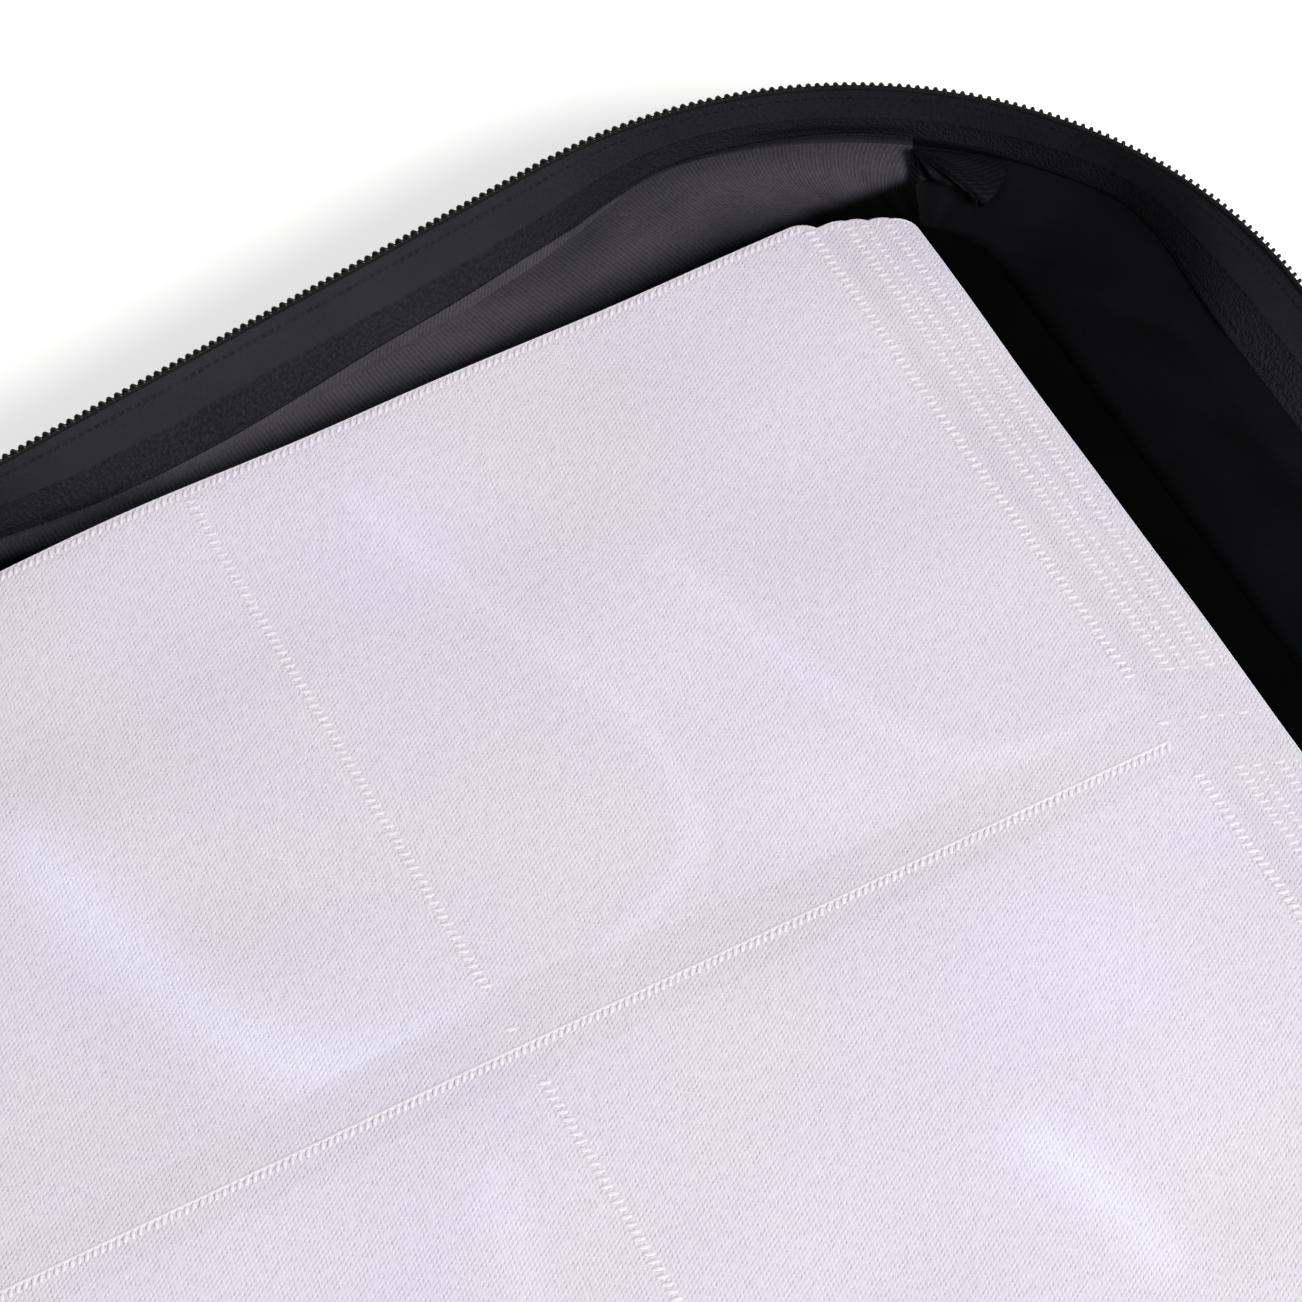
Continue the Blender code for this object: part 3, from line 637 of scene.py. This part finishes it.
def lining_shade(side):
    """Where painted shade darkens the head lining: its foot, more of it towards the seam, and its top edge where
    it laps onto the tape near the corner.
    """
    rows = []
    for part, share in side_stations(side):
        place = walk(part, share)
        lap = 0.72 * float(ease((place - 0.238) / 0.014)) * np.array((0.15, 0.5, 0.8, 1))
        painted_foot_shade = ease((np.interp(place, *SHADE_EDGE) + 0.08 - LINING_RISES) / 0.17)
        rows.append(np.concatenate((painted_foot_shade, lap)))
    return np.array(rows)


def lining_grid(side):
    """A wall's lining, with four more points a row where it laps onto the tape."""
    runs = side_stations(side)
    laps = []
    for part, share in runs:
        foot = np.array(tape_foot(part, share))
        top = np.array((*rim_point(part, share), TAPE_TOP))
        _, _, out_x, out_y = foot_point(part, share)
        shares = np.linspace(0.03, np.interp(walk(part, share), *LINING_LAP), 4)
        laps.append(mix(foot, top, shares[:, None]) - 0.75 * MM * np.array((out_x, out_y, 0)))
    points = wall_grid(runs, LINING_RISES, lining_bulge)
    return whole_side(np.concatenate((points, np.array(laps)), 1), side)


# The gathered lining at a corner, as (share of the corner, rise) round its free edge
GATHER_TOP = (0.452, 1.04)
GATHER_EDGE = np.array(((0.449, 0.62), (0.47, 0.7), (0.5, 0.7), (0.54, 0.66), (0.575, 0.56), (0.597, 0.47),
                        (0.592, 0.68), (0.578, 0.88), (0.562, 1.04)))


def make_gather(label, half, end, paints):
    """Lining bunched at the corner seam: pleats that spread from the top of the seam."""
    marks = np.linspace(0, 1, len(GATHER_EDGE))
    turns = np.linspace(0, 1, 64)
    edge = read_at(turns, marks, GATHER_EDGE)
    edge[:, 1] += 0.012 * np.sin(turns * 31) * np.sin(math.pi * turns)
    rows = []
    for (share, rise), turn in zip(edge, turns):
        row = []
        for reach in np.linspace(0.02, 1, 26):
            spot = mix(np.array(GATHER_TOP), np.array((share, rise)), reach)
            swell = math.sin(math.pi * min(1, reach * 0.9)) * math.sin(math.pi * min(1, turn * 1.05 + 0.04))
            pleat = math.sin(turn * 29 + 1.6 * math.sin(reach * 3)) * (0.25 + 0.75 * reach)
            pleat = pleat + 0.4 * math.sin(turn * 53 + reach * 4)
            lift = 4.2 + 2.4 * swell + 0.75 * pleat * math.sin(math.pi * min(1, turn + 0.08)) + 0.9 * reach ** 3
            lift -= (lift - 3.4) * float(ease((turn - 0.6) / 0.35)) * reach
            points = wall_grid([("corner", spot[0])], np.array((spot[1],)),
                               lambda part, place, rises: np.full(1, -lift * MM))
            row.append(points[0, 0])
        rows.append(row)
    points = np.array(rows) * np.array((half, end, 1))
    places = wall_places(points)
    item = sheet_mesh(f"{label}_gather_{'head' if end > 0 else 'tail'}", points, places, 0.4 * MM,
                      paints["gather"])
    dress(item, label, "wall_lining")


def make_walls(label, half, paints):
    """The outer walls and their linings, at the head, the fore edge and the tail."""
    for side in ("head", "fore", "tail"):
        gusset = whole_side(wall_grid(side_stations(side), np.linspace(-0.01, 1.045, 14), gusset_bulge), side)
        shade = {"shade": lining_shade(side)} if side != "fore" else None
        # The fore wall's lining takes a much darker copy of the lining cloth: painted shade.
        lining_paint = paints["fore_lining_painted_shade" if side == "fore" else "wall_lining"]
        for kind, points, thickness, paint, marks, slot, node, below in (
                ("gusset", gusset, WALL_THICKNESS, paints["gusset"], None, "cover_cloth", "gusset",
                 "cover_cloth"),
                ("lining", lining_grid(side), WALL_LINING, lining_paint, shade, "wall_lining", "wall_lining",
                 f"gusset_{side}")):
            points = on_half(points, half)
            places = wall_places(points)
            item = sheet_mesh(f"{label}_{kind}_{side}_cloth", points, places, thickness, paint, marks)
            dress(item, label, slot, f"{label}_{node}_{side}")


def rim_runs(start_x, fine):
    first = (start_x - WALL_START) / (RIM_TANGENT[0] - WALL_START)
    return stations([("head", first, 1, 60 * fine), ("corner", 0, 1, 70 * fine), ("fore", 0, 1, 18 * fine)])


def make_tape(label, half, paints):
    start_x = WALL_START if half > 0 else COIL_START + 0.3 * MM
    shares = np.linspace(-0.03, 1, 19)
    rows, shade = [], []
    for part, share in rim_runs(start_x, 1):
        foot = np.array(tape_foot(part, share))
        top = np.array((*rim_point(part, share, -0.45 * MM), COIL_Z - 0.5 * MM))
        place = walk(part, share)
        _, _, out_x, out_y = foot_point(part, share)
        lift = np.sin(math.pi * shares) * 0.5 * MM
        lift = lift + ripple(place, shares * 0.02, 0.045, 11) * 0.3 * MM * np.sin(math.pi * shares)
        out = np.array((out_x, out_y, 0)) * 0.8 + np.array((0, 0, -0.6))
        pucker = ease(1 - ((place - 0.281) / 0.022) ** 2) * ease(1.3 - np.abs(shares - 0.2) / 0.1)
        lift = lift + pucker * 0.8 * MM
        waved = shares + (1 - shares) * 0.03 * ripple(place, 0, 0.022, 12) * (1 - ease((shares - 0.3) / 0.3))
        rows.append(mix(foot, top, waved[:, None]) + lift[:, None] * out)
        # The pucker's shadow, painted into the tape's colour: painted shade.
        shade.append(pucker)
    shade = np.concatenate((shade, shade[-2::-1]))
    points = on_half(mirrored(np.array(rows)), half)
    along = lengths(points)[:, -1]
    places = np.stack(np.meshgrid(along, shares * TAPE_WIDTH, indexing="ij"), -1)
    item = sheet_mesh(f"{label}_tape_cloth", points, places, TAPE, paints["tape"], {"shade": shade})
    dress(item, label, "zip_tape", f"{label}_zip_tape")


def make_coil(label, half, paints):
    """The zip coil: nylon wire in flattened turns, one for each tooth."""
    start_x = COIL_START if half > 0 else COIL_START + 0.3 * MM
    line = np.array([(*rim_point(part, share), COIL_Z) for part, share in rim_runs(start_x, 8)])
    line = mirrored(line)
    travelled = lengths(line)
    turns = int(travelled[-1] / TOOTH_PITCH)
    steps = 12 if half > 0 else 8
    angle = np.arange(turns * steps + 1) * 2 * math.pi / steps
    along = angle / (2 * math.pi) * TOOTH_PITCH - 0.08 * TOOTH_PITCH * np.sin(angle)
    along = np.clip(along, 0, travelled[-1])
    ahead = np.gradient(line, travelled, axis=0)
    centre = read_at(along, travelled, line)
    out = outward(unit(read_at(along, travelled, ahead)))
    reach = 0.92 * MM + 0.5 * MM * np.cos(angle)
    rise = 0.36 * MM * np.sin(angle)
    spine = centre + out * reach[:, None] + np.array((0, 0, 1)) * rise[:, None]
    head = np.clip(np.cos(angle), 0, 1) ** 3
    radius = (0.37 + 0.08 * head) * MM
    forward = unit(np.gradient(spine, axis=0))
    side = unit(np.cross(forward, np.cross(forward, out + np.array((0, 0, 0.35)))))
    points = round_line(spine, side, np.cross(forward, side), radius[:, None, None],
                        np.arange(6) * 2 * math.pi / 6)
    item = finish_mesh(f"{label}_coil_wire", on_half(points, half), tube_faces(len(points), 6), None,
                       paints["coil"], 180)
    dress(item, label, "zip_coil", f"{label}_zip_coil")
    turns = np.linspace(0, 2 * math.pi, 9)
    core = line[:, None] + outward(ahead)[:, None] * (np.cos(turns) * 0.52 * MM + 0.48 * MM)[None, :, None]
    core = core + np.array((0, 0, 1)) * (np.sin(turns) * 0.55 * MM)[None, :, None]
    core = on_half(core[::4], half)
    places = np.stack(np.broadcast_arrays(travelled[::4, None], turns * 0.5 * MM), -1)
    item = finish_mesh(f"{label}_coil_core", core, grid_faces(*core.shape[:2], 0, half < 0).tolist(), places,
                       paints["core"], 180)
    dress(item, label, "zip_coil")


# Sleeves

def leaf_bend(index):
    """Where a sleeve's bend starts and ends, measured along it from the binding."""
    start = LEAF_HEIGHTS[index] - BEND - LEAF_FOOT
    return start, start + math.pi / 2 * BEND


def leaf_surface(index, along, across, lift=0.0, half=1):
    """Points on a bent sleeve, with the soft waves that all the sleeves share."""
    along, across = np.broadcast_arrays(along, across)
    start, end = leaf_bend(index)
    foot_x = FIRST_EDGE_X + LEAF_SHIFTS[index] - (PAGE_WIDTH - end) - BEND
    turn = np.clip((along - start) / BEND, 0, math.pi / 2)
    flat = np.clip(along - end, 0, None)
    x = foot_x + BEND - BEND * np.cos(turn) + flat
    z = LEAF_FOOT + np.minimum(along, start) + BEND * np.sin(turn)
    free = ease(flat / 0.06)
    level = across * half
    wave = ripple(x, level, 0.11, 21) * 0.55 * MM + ripple(x, level, 0.045, 22) * 0.16 * MM
    wave = wave + ripple(x, level, 0.07, 30 + index) * 0.14 * MM
    if index == 0:
        lifted = ease((level - 0.098) / 0.042) * ease((x - 0.095) / 0.04) * ease((0.265 - x) / 0.06)
        wave = wave + sum(height * near for height, _, near in folds(x, level)) + 1.5 * MM * lifted
    x = x - lift * np.cos(turn)
    z = z + lift * np.sin(turn) + wave * free
    edge = np.clip((np.abs(across) - 0.125) / 0.0155, 0, 1)
    y = across + ripple(x, level * 0, 0.05, 60 + index) * 0.3 * MM * edge * free
    return np.stack((x, y, z), -1)


# Soft folds of the sleeve on top, in mm: points, height, width, and how strong the painted highlight of the
# film's glare is there
CREASES = (
    (((194.5, 123.1), (206.5, 86.8), (218.6, 50.3), (216, 26), (204, 17), (188, 11.5)), 0.096, 2.6, 0.3),
    (((238.2, 84.5), (244.8, 56.9), (255.2, 29.4), (263, 17), (274, 12.6), (290, 10.7)), 0.114, 2.6, 0.3),
    (((108, 84), (116, 50), (124, 28), (133, 15), (145, 10), (160, 9)), 0.15, 7, 0.55),
    (((226, 74), (234, 48), (240, 20)), 0.06, 14, 0.22),
    (((235.5, -60), (239, -68), (242, -78), (243, -90)), 0.09, 5, 0.6),
    (((252, -6), (264, -28), (270, -52)), 0.045, 12, 0.16),
    (((150, -20), (141, -66), (146, -108)), 0.105, 4, 0.25),
    (((60, 120), (72, 70), (64, 24)), 0.105, 5, 0.3),
    (((86, -18), (78, -62), (92, -120)), 0.105, 4.5, 0.35),
)


def beside_line(x, y, line):
    """How far each place is from a line through these points."""
    best = np.full(np.broadcast(x, y).shape, np.inf)
    for (x0, y0), (x1, y1) in zip(line[:-1], line[1:]):
        share = ((x - x0) * (x1 - x0) + (y - y0) * (y1 - y0)) / ((x1 - x0) ** 2 + (y1 - y0) ** 2)
        share = np.clip(share, 0, 1)
        best = np.minimum(best, np.hypot(x - mix(x0, x1, share), y - mix(y0, y1, share)))
    return best


def smooth_line(line):
    """The same line with its corners rounded."""
    line = np.array(line)
    for _ in range(3):
        inner = np.stack((mix(line[:-1], line[1:], 0.25), mix(line[:-1], line[1:], 0.75)), 1).reshape(-1, 2)
        line = np.concatenate((line[:1], inner, line[-1:]))
    return line * MM


def folds(x, y):
    """Each fold's height and painted glare highlight, with how near each place is to it, from 0 to 1."""
    for line, height, width, painted_glare in CREASES:
        yield height * MM, painted_glare, np.exp(-(beside_line(x, y, smooth_line(line)) / (width * MM)) ** 2)


def painted_fold_glare(x, y):
    """How strong the painted highlight of the film's glare is on the sleeve, clear of the middle weld."""
    painted_glare = sum(share * near for _, share, near in folds(x, y))
    clear = np.where(y > 0, 10.5 * MM, 6.5 * MM)
    return np.clip(painted_glare, 0, 0.7) * ease((np.abs(y) - clear) / (2 * MM) + 0.5)


def leaf_grid(index, detail):
    start, end = leaf_bend(index)
    run = np.concatenate((np.linspace(0, start, 4)[:-1], np.linspace(start, end, 9)[:-1],
                          np.linspace(end, PAGE_WIDTH - PAGE_CORNER, int(0.24 / detail))[:-1]))
    return round_grid(run, PAGE_WIDTH, PAGE_CORNER, 10, PAGE_HALF, int(0.281 / detail))


def make_sleeves(label, half, paints):
    for index in range(5):
        along, across = leaf_grid(index, ((1.7 if half > 0 else 3) if index == 0 else 6) * MM)
        points = leaf_surface(index, along, across, 0, half)
        marks = None
        if index == 0:
            # Painted highlight of the film's glare, on the top sleeve only.
            marks = {"painted_glare": painted_fold_glare(points[..., 0], across * half) * (along > 30 * MM)}
        places = np.stack((along + 0.01 * index, across), -1)
        item = sheet_mesh(f"{label}_sleeve_{index + 1}_cloth", on_half(points, half), places, SLEEVE,
                          paints["sleeve"], marks)
        dress(item, label, "sleeve", f"{label}_sleeve_{index + 1}")
        make_welds(label, half, index, paints)
        if index in (0, 4):
            make_edge(label, half, index, paints)


def make_edge(label, half, index, paints):
    """The fused edge of a sleeve, a fine bead along its head, fore edge and tail."""
    start = (PAGE_MARGIN if index == 0 else PAGE_WIDTH - LEAF_SHIFTS[index] - 16 * MM)
    run = np.linspace(start, PAGE_WIDTH - PAGE_CORNER, 90 if index == 0 else 16)
    turns = np.linspace(0, math.pi / 2, 9)[1:]
    inset = 0.1 * MM
    along = np.concatenate((run, PAGE_WIDTH - PAGE_CORNER + (PAGE_CORNER - inset) * np.sin(turns)))
    across = np.concatenate((np.full(len(run), PAGE_HALF - inset),
                             PAGE_HALF - PAGE_CORNER + (PAGE_CORNER - inset) * np.cos(turns)))
    down = np.linspace(across[-1], -across[-1], 90)[1:-1]
    across = np.concatenate((across, down, -across[::-1]))
    along = np.concatenate((along, np.full(len(down), along[-1]), along[::-1]))
    line = on_half(leaf_surface(index, along, across, 0.06 * MM, half), half)
    ahead = unit(np.gradient(line, axis=0))
    side = unit(np.cross(ahead, (0, 0, 1)))
    radius, paint = (0.28 * MM, "edge") if index == 4 else (0.16 * MM, "weld")
    points = round_line(line, side * 0.8, np.cross(side, ahead), radius, np.linspace(0, 2 * math.pi, 7))
    item = finish_mesh(f"{label}_sleeve_edge_{index + 1}", points, grid_faces(*points.shape[:2]).tolist(),
                       None, paints[paint], 180)
    dress(item, label, "weld")


def make_films(label, half, paints):
    """Clear film over the upper and the lower pockets, slack between its welds."""
    edge = PAGE_WIDTH - PAGE_HEM
    _, bend = leaf_bend(0)
    along = np.concatenate((np.linspace(PAGE_MARGIN, bend, 8), np.linspace(bend, edge, 90)[1:]))
    beside = along - (PAGE_MARGIN + POCKET_WIDTH)
    mouth = 9 * MM + 4.5 * MM * np.exp(-(beside / (34 * MM)) ** 2)
    for row, near, far in (("upper", mouth, 137.2 * MM),
                           ("lower", np.full(len(along), -6 * MM), -137.2 * MM)):
        across = mix(near[:, None], far, np.linspace(0, 1, 50))
        pinned = np.minimum(np.abs(along - edge), np.abs(along - edge + POCKET_WIDTH))[:, None]
        slack = ease(pinned / (7 * MM)) * ease((abs(far) - np.abs(across)) / (7 * MM))
        lift = 0.27 * MM + slack * (0.16 * MM + 0.08 * MM * ripple(along[:, None], across, 0.05, 41))
        points = on_half(leaf_surface(0, along[:, None], across, lift, half), half)
        places = np.stack((along[:, None] + 0 * across, across), -1)
        item = sheet_mesh(f"{label}_film_{row}_sheet", points, places, FILM, paints["film"])
        item.visible_shadow = False
        dress(item, label, "film", f"{label}_film_{row}")


def studs(name, centres, slants, size, paint):
    """Many small raised dots in one mesh: each an eight-sided dome lying on the sleeve."""
    long, short, height = size
    ring = np.arange(8) * math.pi / 4
    shape = [np.stack((np.cos(ring) * scale * long / 2, np.sin(ring) * scale * short / 2,
                       np.full(8, level * height)), -1) for scale, level in ((1, 0), (0.86, 0.6), (0.5, 1))]
    shape = np.concatenate(shape)
    count = len(centres)
    cos, sin = np.cos(slants)[:, None], np.sin(slants)[:, None]
    x = shape[None, :, 0] * cos - shape[None, :, 1] * sin
    y = shape[None, :, 0] * sin + shape[None, :, 1] * cos
    corners = centres[:, None] + np.stack((x, y, np.broadcast_to(shape[None, :, 2], x.shape)), -1)
    faces = [[8 * level + step, 8 * level + (step + 1) % 8, 8 * level + 8 + (step + 1) % 8,
              8 * level + 8 + step] for level in (0, 1) for step in range(8)]
    sides = (np.array(faces)[None] + 24 * np.arange(count)[:, None, None]).reshape(-1, 4).tolist()
    caps = (np.arange(16, 24)[None] + 24 * np.arange(count)[:, None]).tolist()
    return finish_mesh(name, corners, sides + caps, None, paint, 180)


def make_welds(label, half, index, paints):
    """Rows of weld dots down the sleeve, and slanted ticks along its head, middle and tail."""
    dice = np.random.default_rng(70 + index)
    top = index == 0
    edge = PAGE_WIDTH - PAGE_HEM

    def scatter(kind, spots, jitter, slant, size, *nodes):
        spots = np.concatenate(spots)
        spots = spots + dice.normal(0, jitter, spots.shape)
        centres = leaf_surface(index, spots[:, 0], spots[:, 1], (0.26 if top else 0.17) * MM, half)
        slants = slant + dice.normal(0, 0.08, len(spots))
        item = studs(f"{label}_weld_{kind}_{index + 1}", on_half(centres, half), half * slants, size,
                     paints["weld"])
        dress(item, label, "weld", *nodes)

    columns = ((edge, 16.6 * MM), (edge - POCKET_WIDTH, 14.8 * MM), (INNER_WELD, 15.5 * MM))
    dots = []
    for column, gap in columns if top else columns[:1]:
        rows = np.concatenate((np.arange(gap, WELD_HALF, DOT_PITCH), [4.6 * MM],
                               -np.arange(8.2 * MM, WELD_HALF, DOT_PITCH)))
        dots.append(np.stack((np.full(len(rows), column), rows), -1))
    scatter("dots", dots, 0.07 * MM, DOT_SLANT, DOT_SHAPE, *((f"{label}_sleeve_welds",) if top else ()))
    start = INNER_WELD if top else edge - LEAF_SHIFTS[index] - 6 * MM
    along = np.arange(start, edge - 1 * MM, TICK_PITCH)
    ticks = [np.stack((along, np.full(len(along), level)), -1)
             for level in ((TICK_LEVEL, -0.4 * MM, -TICK_LEVEL) if top else (TICK_LEVEL, -TICK_LEVEL))]
    scatter("ticks", ticks, 0.05 * MM, TICK_SLANT, (*TICK_SHAPE, (0.11 if top else 0.09) * MM))
    if top:
        along = np.linspace(INNER_WELD, edge - 1 * MM, 120)
        points = leaf_surface(0, along[:, None], 0.6 * MM + np.linspace(-0.4, 0.4, 5) * MM,
                              0.22 * MM + np.array((0, 0.05, 0.08, 0.05, 0)) * MM, half)
        item = sheet_mesh(f"{label}_weld_ridge", on_half(points, half), np.zeros((120, 5, 2)), 0.05 * MM,
                          paints["weld"])
        dress(item, label, "weld")


# Covers

def make_covers(paints):
    """The outer cloth and the base lining. Each half's sheet reaches to the middle of the spine."""
    for label, half in HALVES:
        for name, node, spine_node, slot, inset, detail, thickness, paint, held in (
                ("cover_skin", "cover_cloth", "spine_cloth", "cover_cloth", -0.2 * MM, 48, SKIN, "cover",
                 "stretched"),
                ("base_lining", "lining", "spine_lining", "base_lining", 1 * MM, 56, BASE_LINING, "lining",
                 "laid")):
            end, radius = FORE_X - inset, COVER_CORNER - inset
            run = np.linspace(0, end - radius, detail)[:-1]
            x, y = round_grid(run, end, radius, 12, HEAD_Y - inset, detail)
            z = np.full(x.shape, 0.27 * MM)
            if node == "lining":
                groove = 1.6 * MM * np.exp(-((x - HINGE_X) / (3 * MM)) ** 2)
                z = 3.7 * MM + 0.15 * MM * ripple(x, y, 0.05, 51) - groove
            points = np.stack((half * x, y, z), -1)
            item = sheet_mesh(f"{label}_{name}", points, np.stack((x, y), -1), thickness, paints[paint])
            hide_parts(f"{label}_{node}", *((spine_node,) if half > 0 else ()))
            span_hinge(item)


def make_cover_edge(label, half, paints):
    """The outer cloth folded up round the cover's rim, and over the open ends of the spine."""
    line = [(x, HEAD_Y, 0, 1) for x in np.linspace(0, WALL_START, 15)[:-1]]
    line += [foot_point(part, share)
             for part, share in stations([("head", 0, 1, 50), ("corner", 0, 1, 20), ("fore", 0, 1, 20)])]
    line = np.array(line)
    line = np.concatenate((line, line[-2::-1] * np.array((1, -1, 1, -1))))
    profile = np.array(((0, 0.22), (0.3, 0.4), (0.45, 1), (0.45, 2), (0.45, 3.1), (0.3, 3.8), (0.3, 4),
                        (0.3, 4.1))) * MM
    over = np.array((0, 0, 0, 0, 0, 0.15, 0.9, 2.0)) * MM
    open_end = ease((WALL_START - line[:, 0]) / (2 * MM))[:, None]
    out = profile[:, 0] - over * open_end
    points = np.stack((line[:, None, 0] + out * line[:, None, 2], line[:, None, 1] + out * line[:, None, 3],
                       np.broadcast_to(profile[:, 1], out.shape)), -1)
    points = on_half(points, half)
    places = wall_places(points)
    item = sheet_mesh(f"{label}_cover_edge", points, places, 0.4 * MM, paints["cover"])
    span_hinge(item)


def rounded_copy(node, name, width, paint):
    """A copy of a CAD node with softened edges."""
    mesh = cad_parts[node].data.copy()
    mesh.materials.clear()
    mesh.materials.append(paint)
    mesh.shade_smooth()
    item = add_object(name, mesh)
    item.modifiers.new("weld", "WELD").merge_threshold = 0.01 * MM
    bevel = item.modifiers.new("bevel", "BEVEL")
    bevel.width = width
    bevel.segments = 2
    bevel.limit_method = "ANGLE"
    bevel.angle_limit = math.radians(40)
    item.modifiers.new("normals", "WEIGHTED_NORMAL")
    return item


def make_binding(label, half, paints):
    """The woven strip that the sleeves are stitched to, with slightly rounded edges."""
    low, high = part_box(f"{label}_binding")
    rows, sides, power = 90, 24, 0.35
    turns = np.linspace(0, 2 * math.pi, sides + 1)[:-1]
    middle = (low.z + high.z) / 2
    ring_x, ring_z = (centre + reach * np.sign(wave) * np.abs(wave) ** power for centre, reach, wave in (
        ((low.x + high.x) / 2, (high.x - low.x) / 2, np.cos(turns)),
        (middle, (high.z - low.z) / 2, np.sin(turns))))
    y = np.linspace(low.y, high.y, rows)[:, None]
    dip = 0.12 * MM * ripple(y, y * 0, 0.02, 81)
    corners = np.stack(np.broadcast_arrays(ring_x, y, ring_z + dip * (ring_z > middle)), -1)
    places = np.stack(np.broadcast_arrays(y, np.arange(sides) * 0.5 * MM), -1)
    item = finish_mesh(f"{label}_binding_strip", corners, tube_faces(rows, sides, True), places,
                       paints["gusset"])
    dress(item, label, "binding", f"{label}_binding")


def make_sliders(paints):
    for side in ("head", "tail"):
        item = rounded_copy(f"{side}_slider", f"{side}_slider_cast", 0.35 * MM, paints["metal"])
        dress(item, "back", "slider_metal", f"{side}_slider")
        item = rounded_copy(f"{side}_pull", f"{side}_pull_tab", 0.3 * MM, paints["metal"])
        dress(item, side, "slider_metal", f"{side}_pull", body=f"{side}_pull")


def make_paints():
    return {
        "gusset": woven("gusset_cloth", (0.006, 0.006, 0.007), (0.03, 0.03, 0.034), 0.9 * MM,
                        45, 0.8, 0.2 * MM, 0.3, 0.1),
        "cover": woven("cover_cloth", (0.008, 0.008, 0.009), (0.022, 0.022, 0.025), 0.8 * MM,
                       45, 0.75, 0.1 * MM, 0.5, 0.1, 0.6),
        "wall_lining": woven("wall_lining", (0.025, 0.024, 0.028), (0.128, 0.121, 0.14), 0.72 * MM,
                             -32, 0.8, 0.06 * MM, 0.25, 0, 0.12, 0.05, True),
        # Painted shade: the fore wall's lining is the head lining's cloth painted far darker, as that wall faces
        # away from the key light.
        "fore_lining_painted_shade": smooth_cloth("fore_lining_painted_shade", (0.0022, 0.0022, 0.0028), (0.0065, 0.0065, 0.0078), 0.6, 0.06),
        # Base lining: dark cloth, its colour taken down to near zero as painted shade of the deep gap under the
        # walls and sleeves.
        "lining": smooth_cloth("base_lining", (0.0004, 0.0004, 0.0005), (0.0014, 0.0014, 0.0016), 0.95, 0.03),
        # Painted shade: the gathered lining is the head lining's cloth painted far darker, for the shade in the
        # corner.
        "gather": woven("gathered_lining_painted_shade", (0.0009, 0.0009, 0.0013), (0.0078, 0.0076, 0.0095), 0.72 * MM,
                        -32, 0.6, 0.05 * MM, 0.5, 0.0, 0.1, 0.05),
        "core": woven("coil_core", (0.001, 0.001, 0.0015), (0.004, 0.004, 0.005), 0.6 * MM,
                      30, 0.8, 0.05 * MM),
        "tape": tape_paint(),
        "sleeve": sleeve_paint(),
        "film": film_paint(),
        "weld": speckled("weld", (0.73, 0.7, 0.755), (0.83, 0.81, 0.86), 1.2 * MM, 0.45, 0.05 * MM),
        "edge": speckled("sleeve_edge", (0.72, 0.76, 0.84), (0.88, 0.89, 0.94), 2.5 * MM, 0.35, 0.05 * MM,
                         shine=0.6),
        "coil": speckled("zip_coil", (0.002, 0.002, 0.0025), (0.006, 0.006, 0.007), 0.7 * MM, (0.22, 0.36),
                         0.03 * MM),
        "metal": speckled("slider_metal", (0.008, 0.008, 0.009), (0.03, 0.03, 0.032), 3 * MM, (0.26, 0.42),
                          0.05 * MM, detail=4, metallic=0.55),
        "board": speckled("cover_board", (0.2, 0.19, 0.17), (0.32, 0.3, 0.27), 1.5 * MM, 0.92, 0.15 * MM,
                          detail=5, rough=0.7),
    }


place_camera()
set_stage()
paints = make_paints()
make_covers(paints)
for label, half in HALVES:
    make_cover_edge(label, half, paints)
    make_walls(label, half, paints)
    make_tape(label, half, paints)
    make_coil(label, half, paints)
    for end in (1, -1):
        make_gather(label, half, end, paints)
    make_binding(label, half, paints)
    make_sleeves(label, half, paints)
    make_films(label, half, paints)
make_sliders(paints)
for node in ("back_board", "front_board", "spine_board"):
    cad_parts[node].data.materials.clear()
    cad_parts[node].data.materials.append(paints["board"])
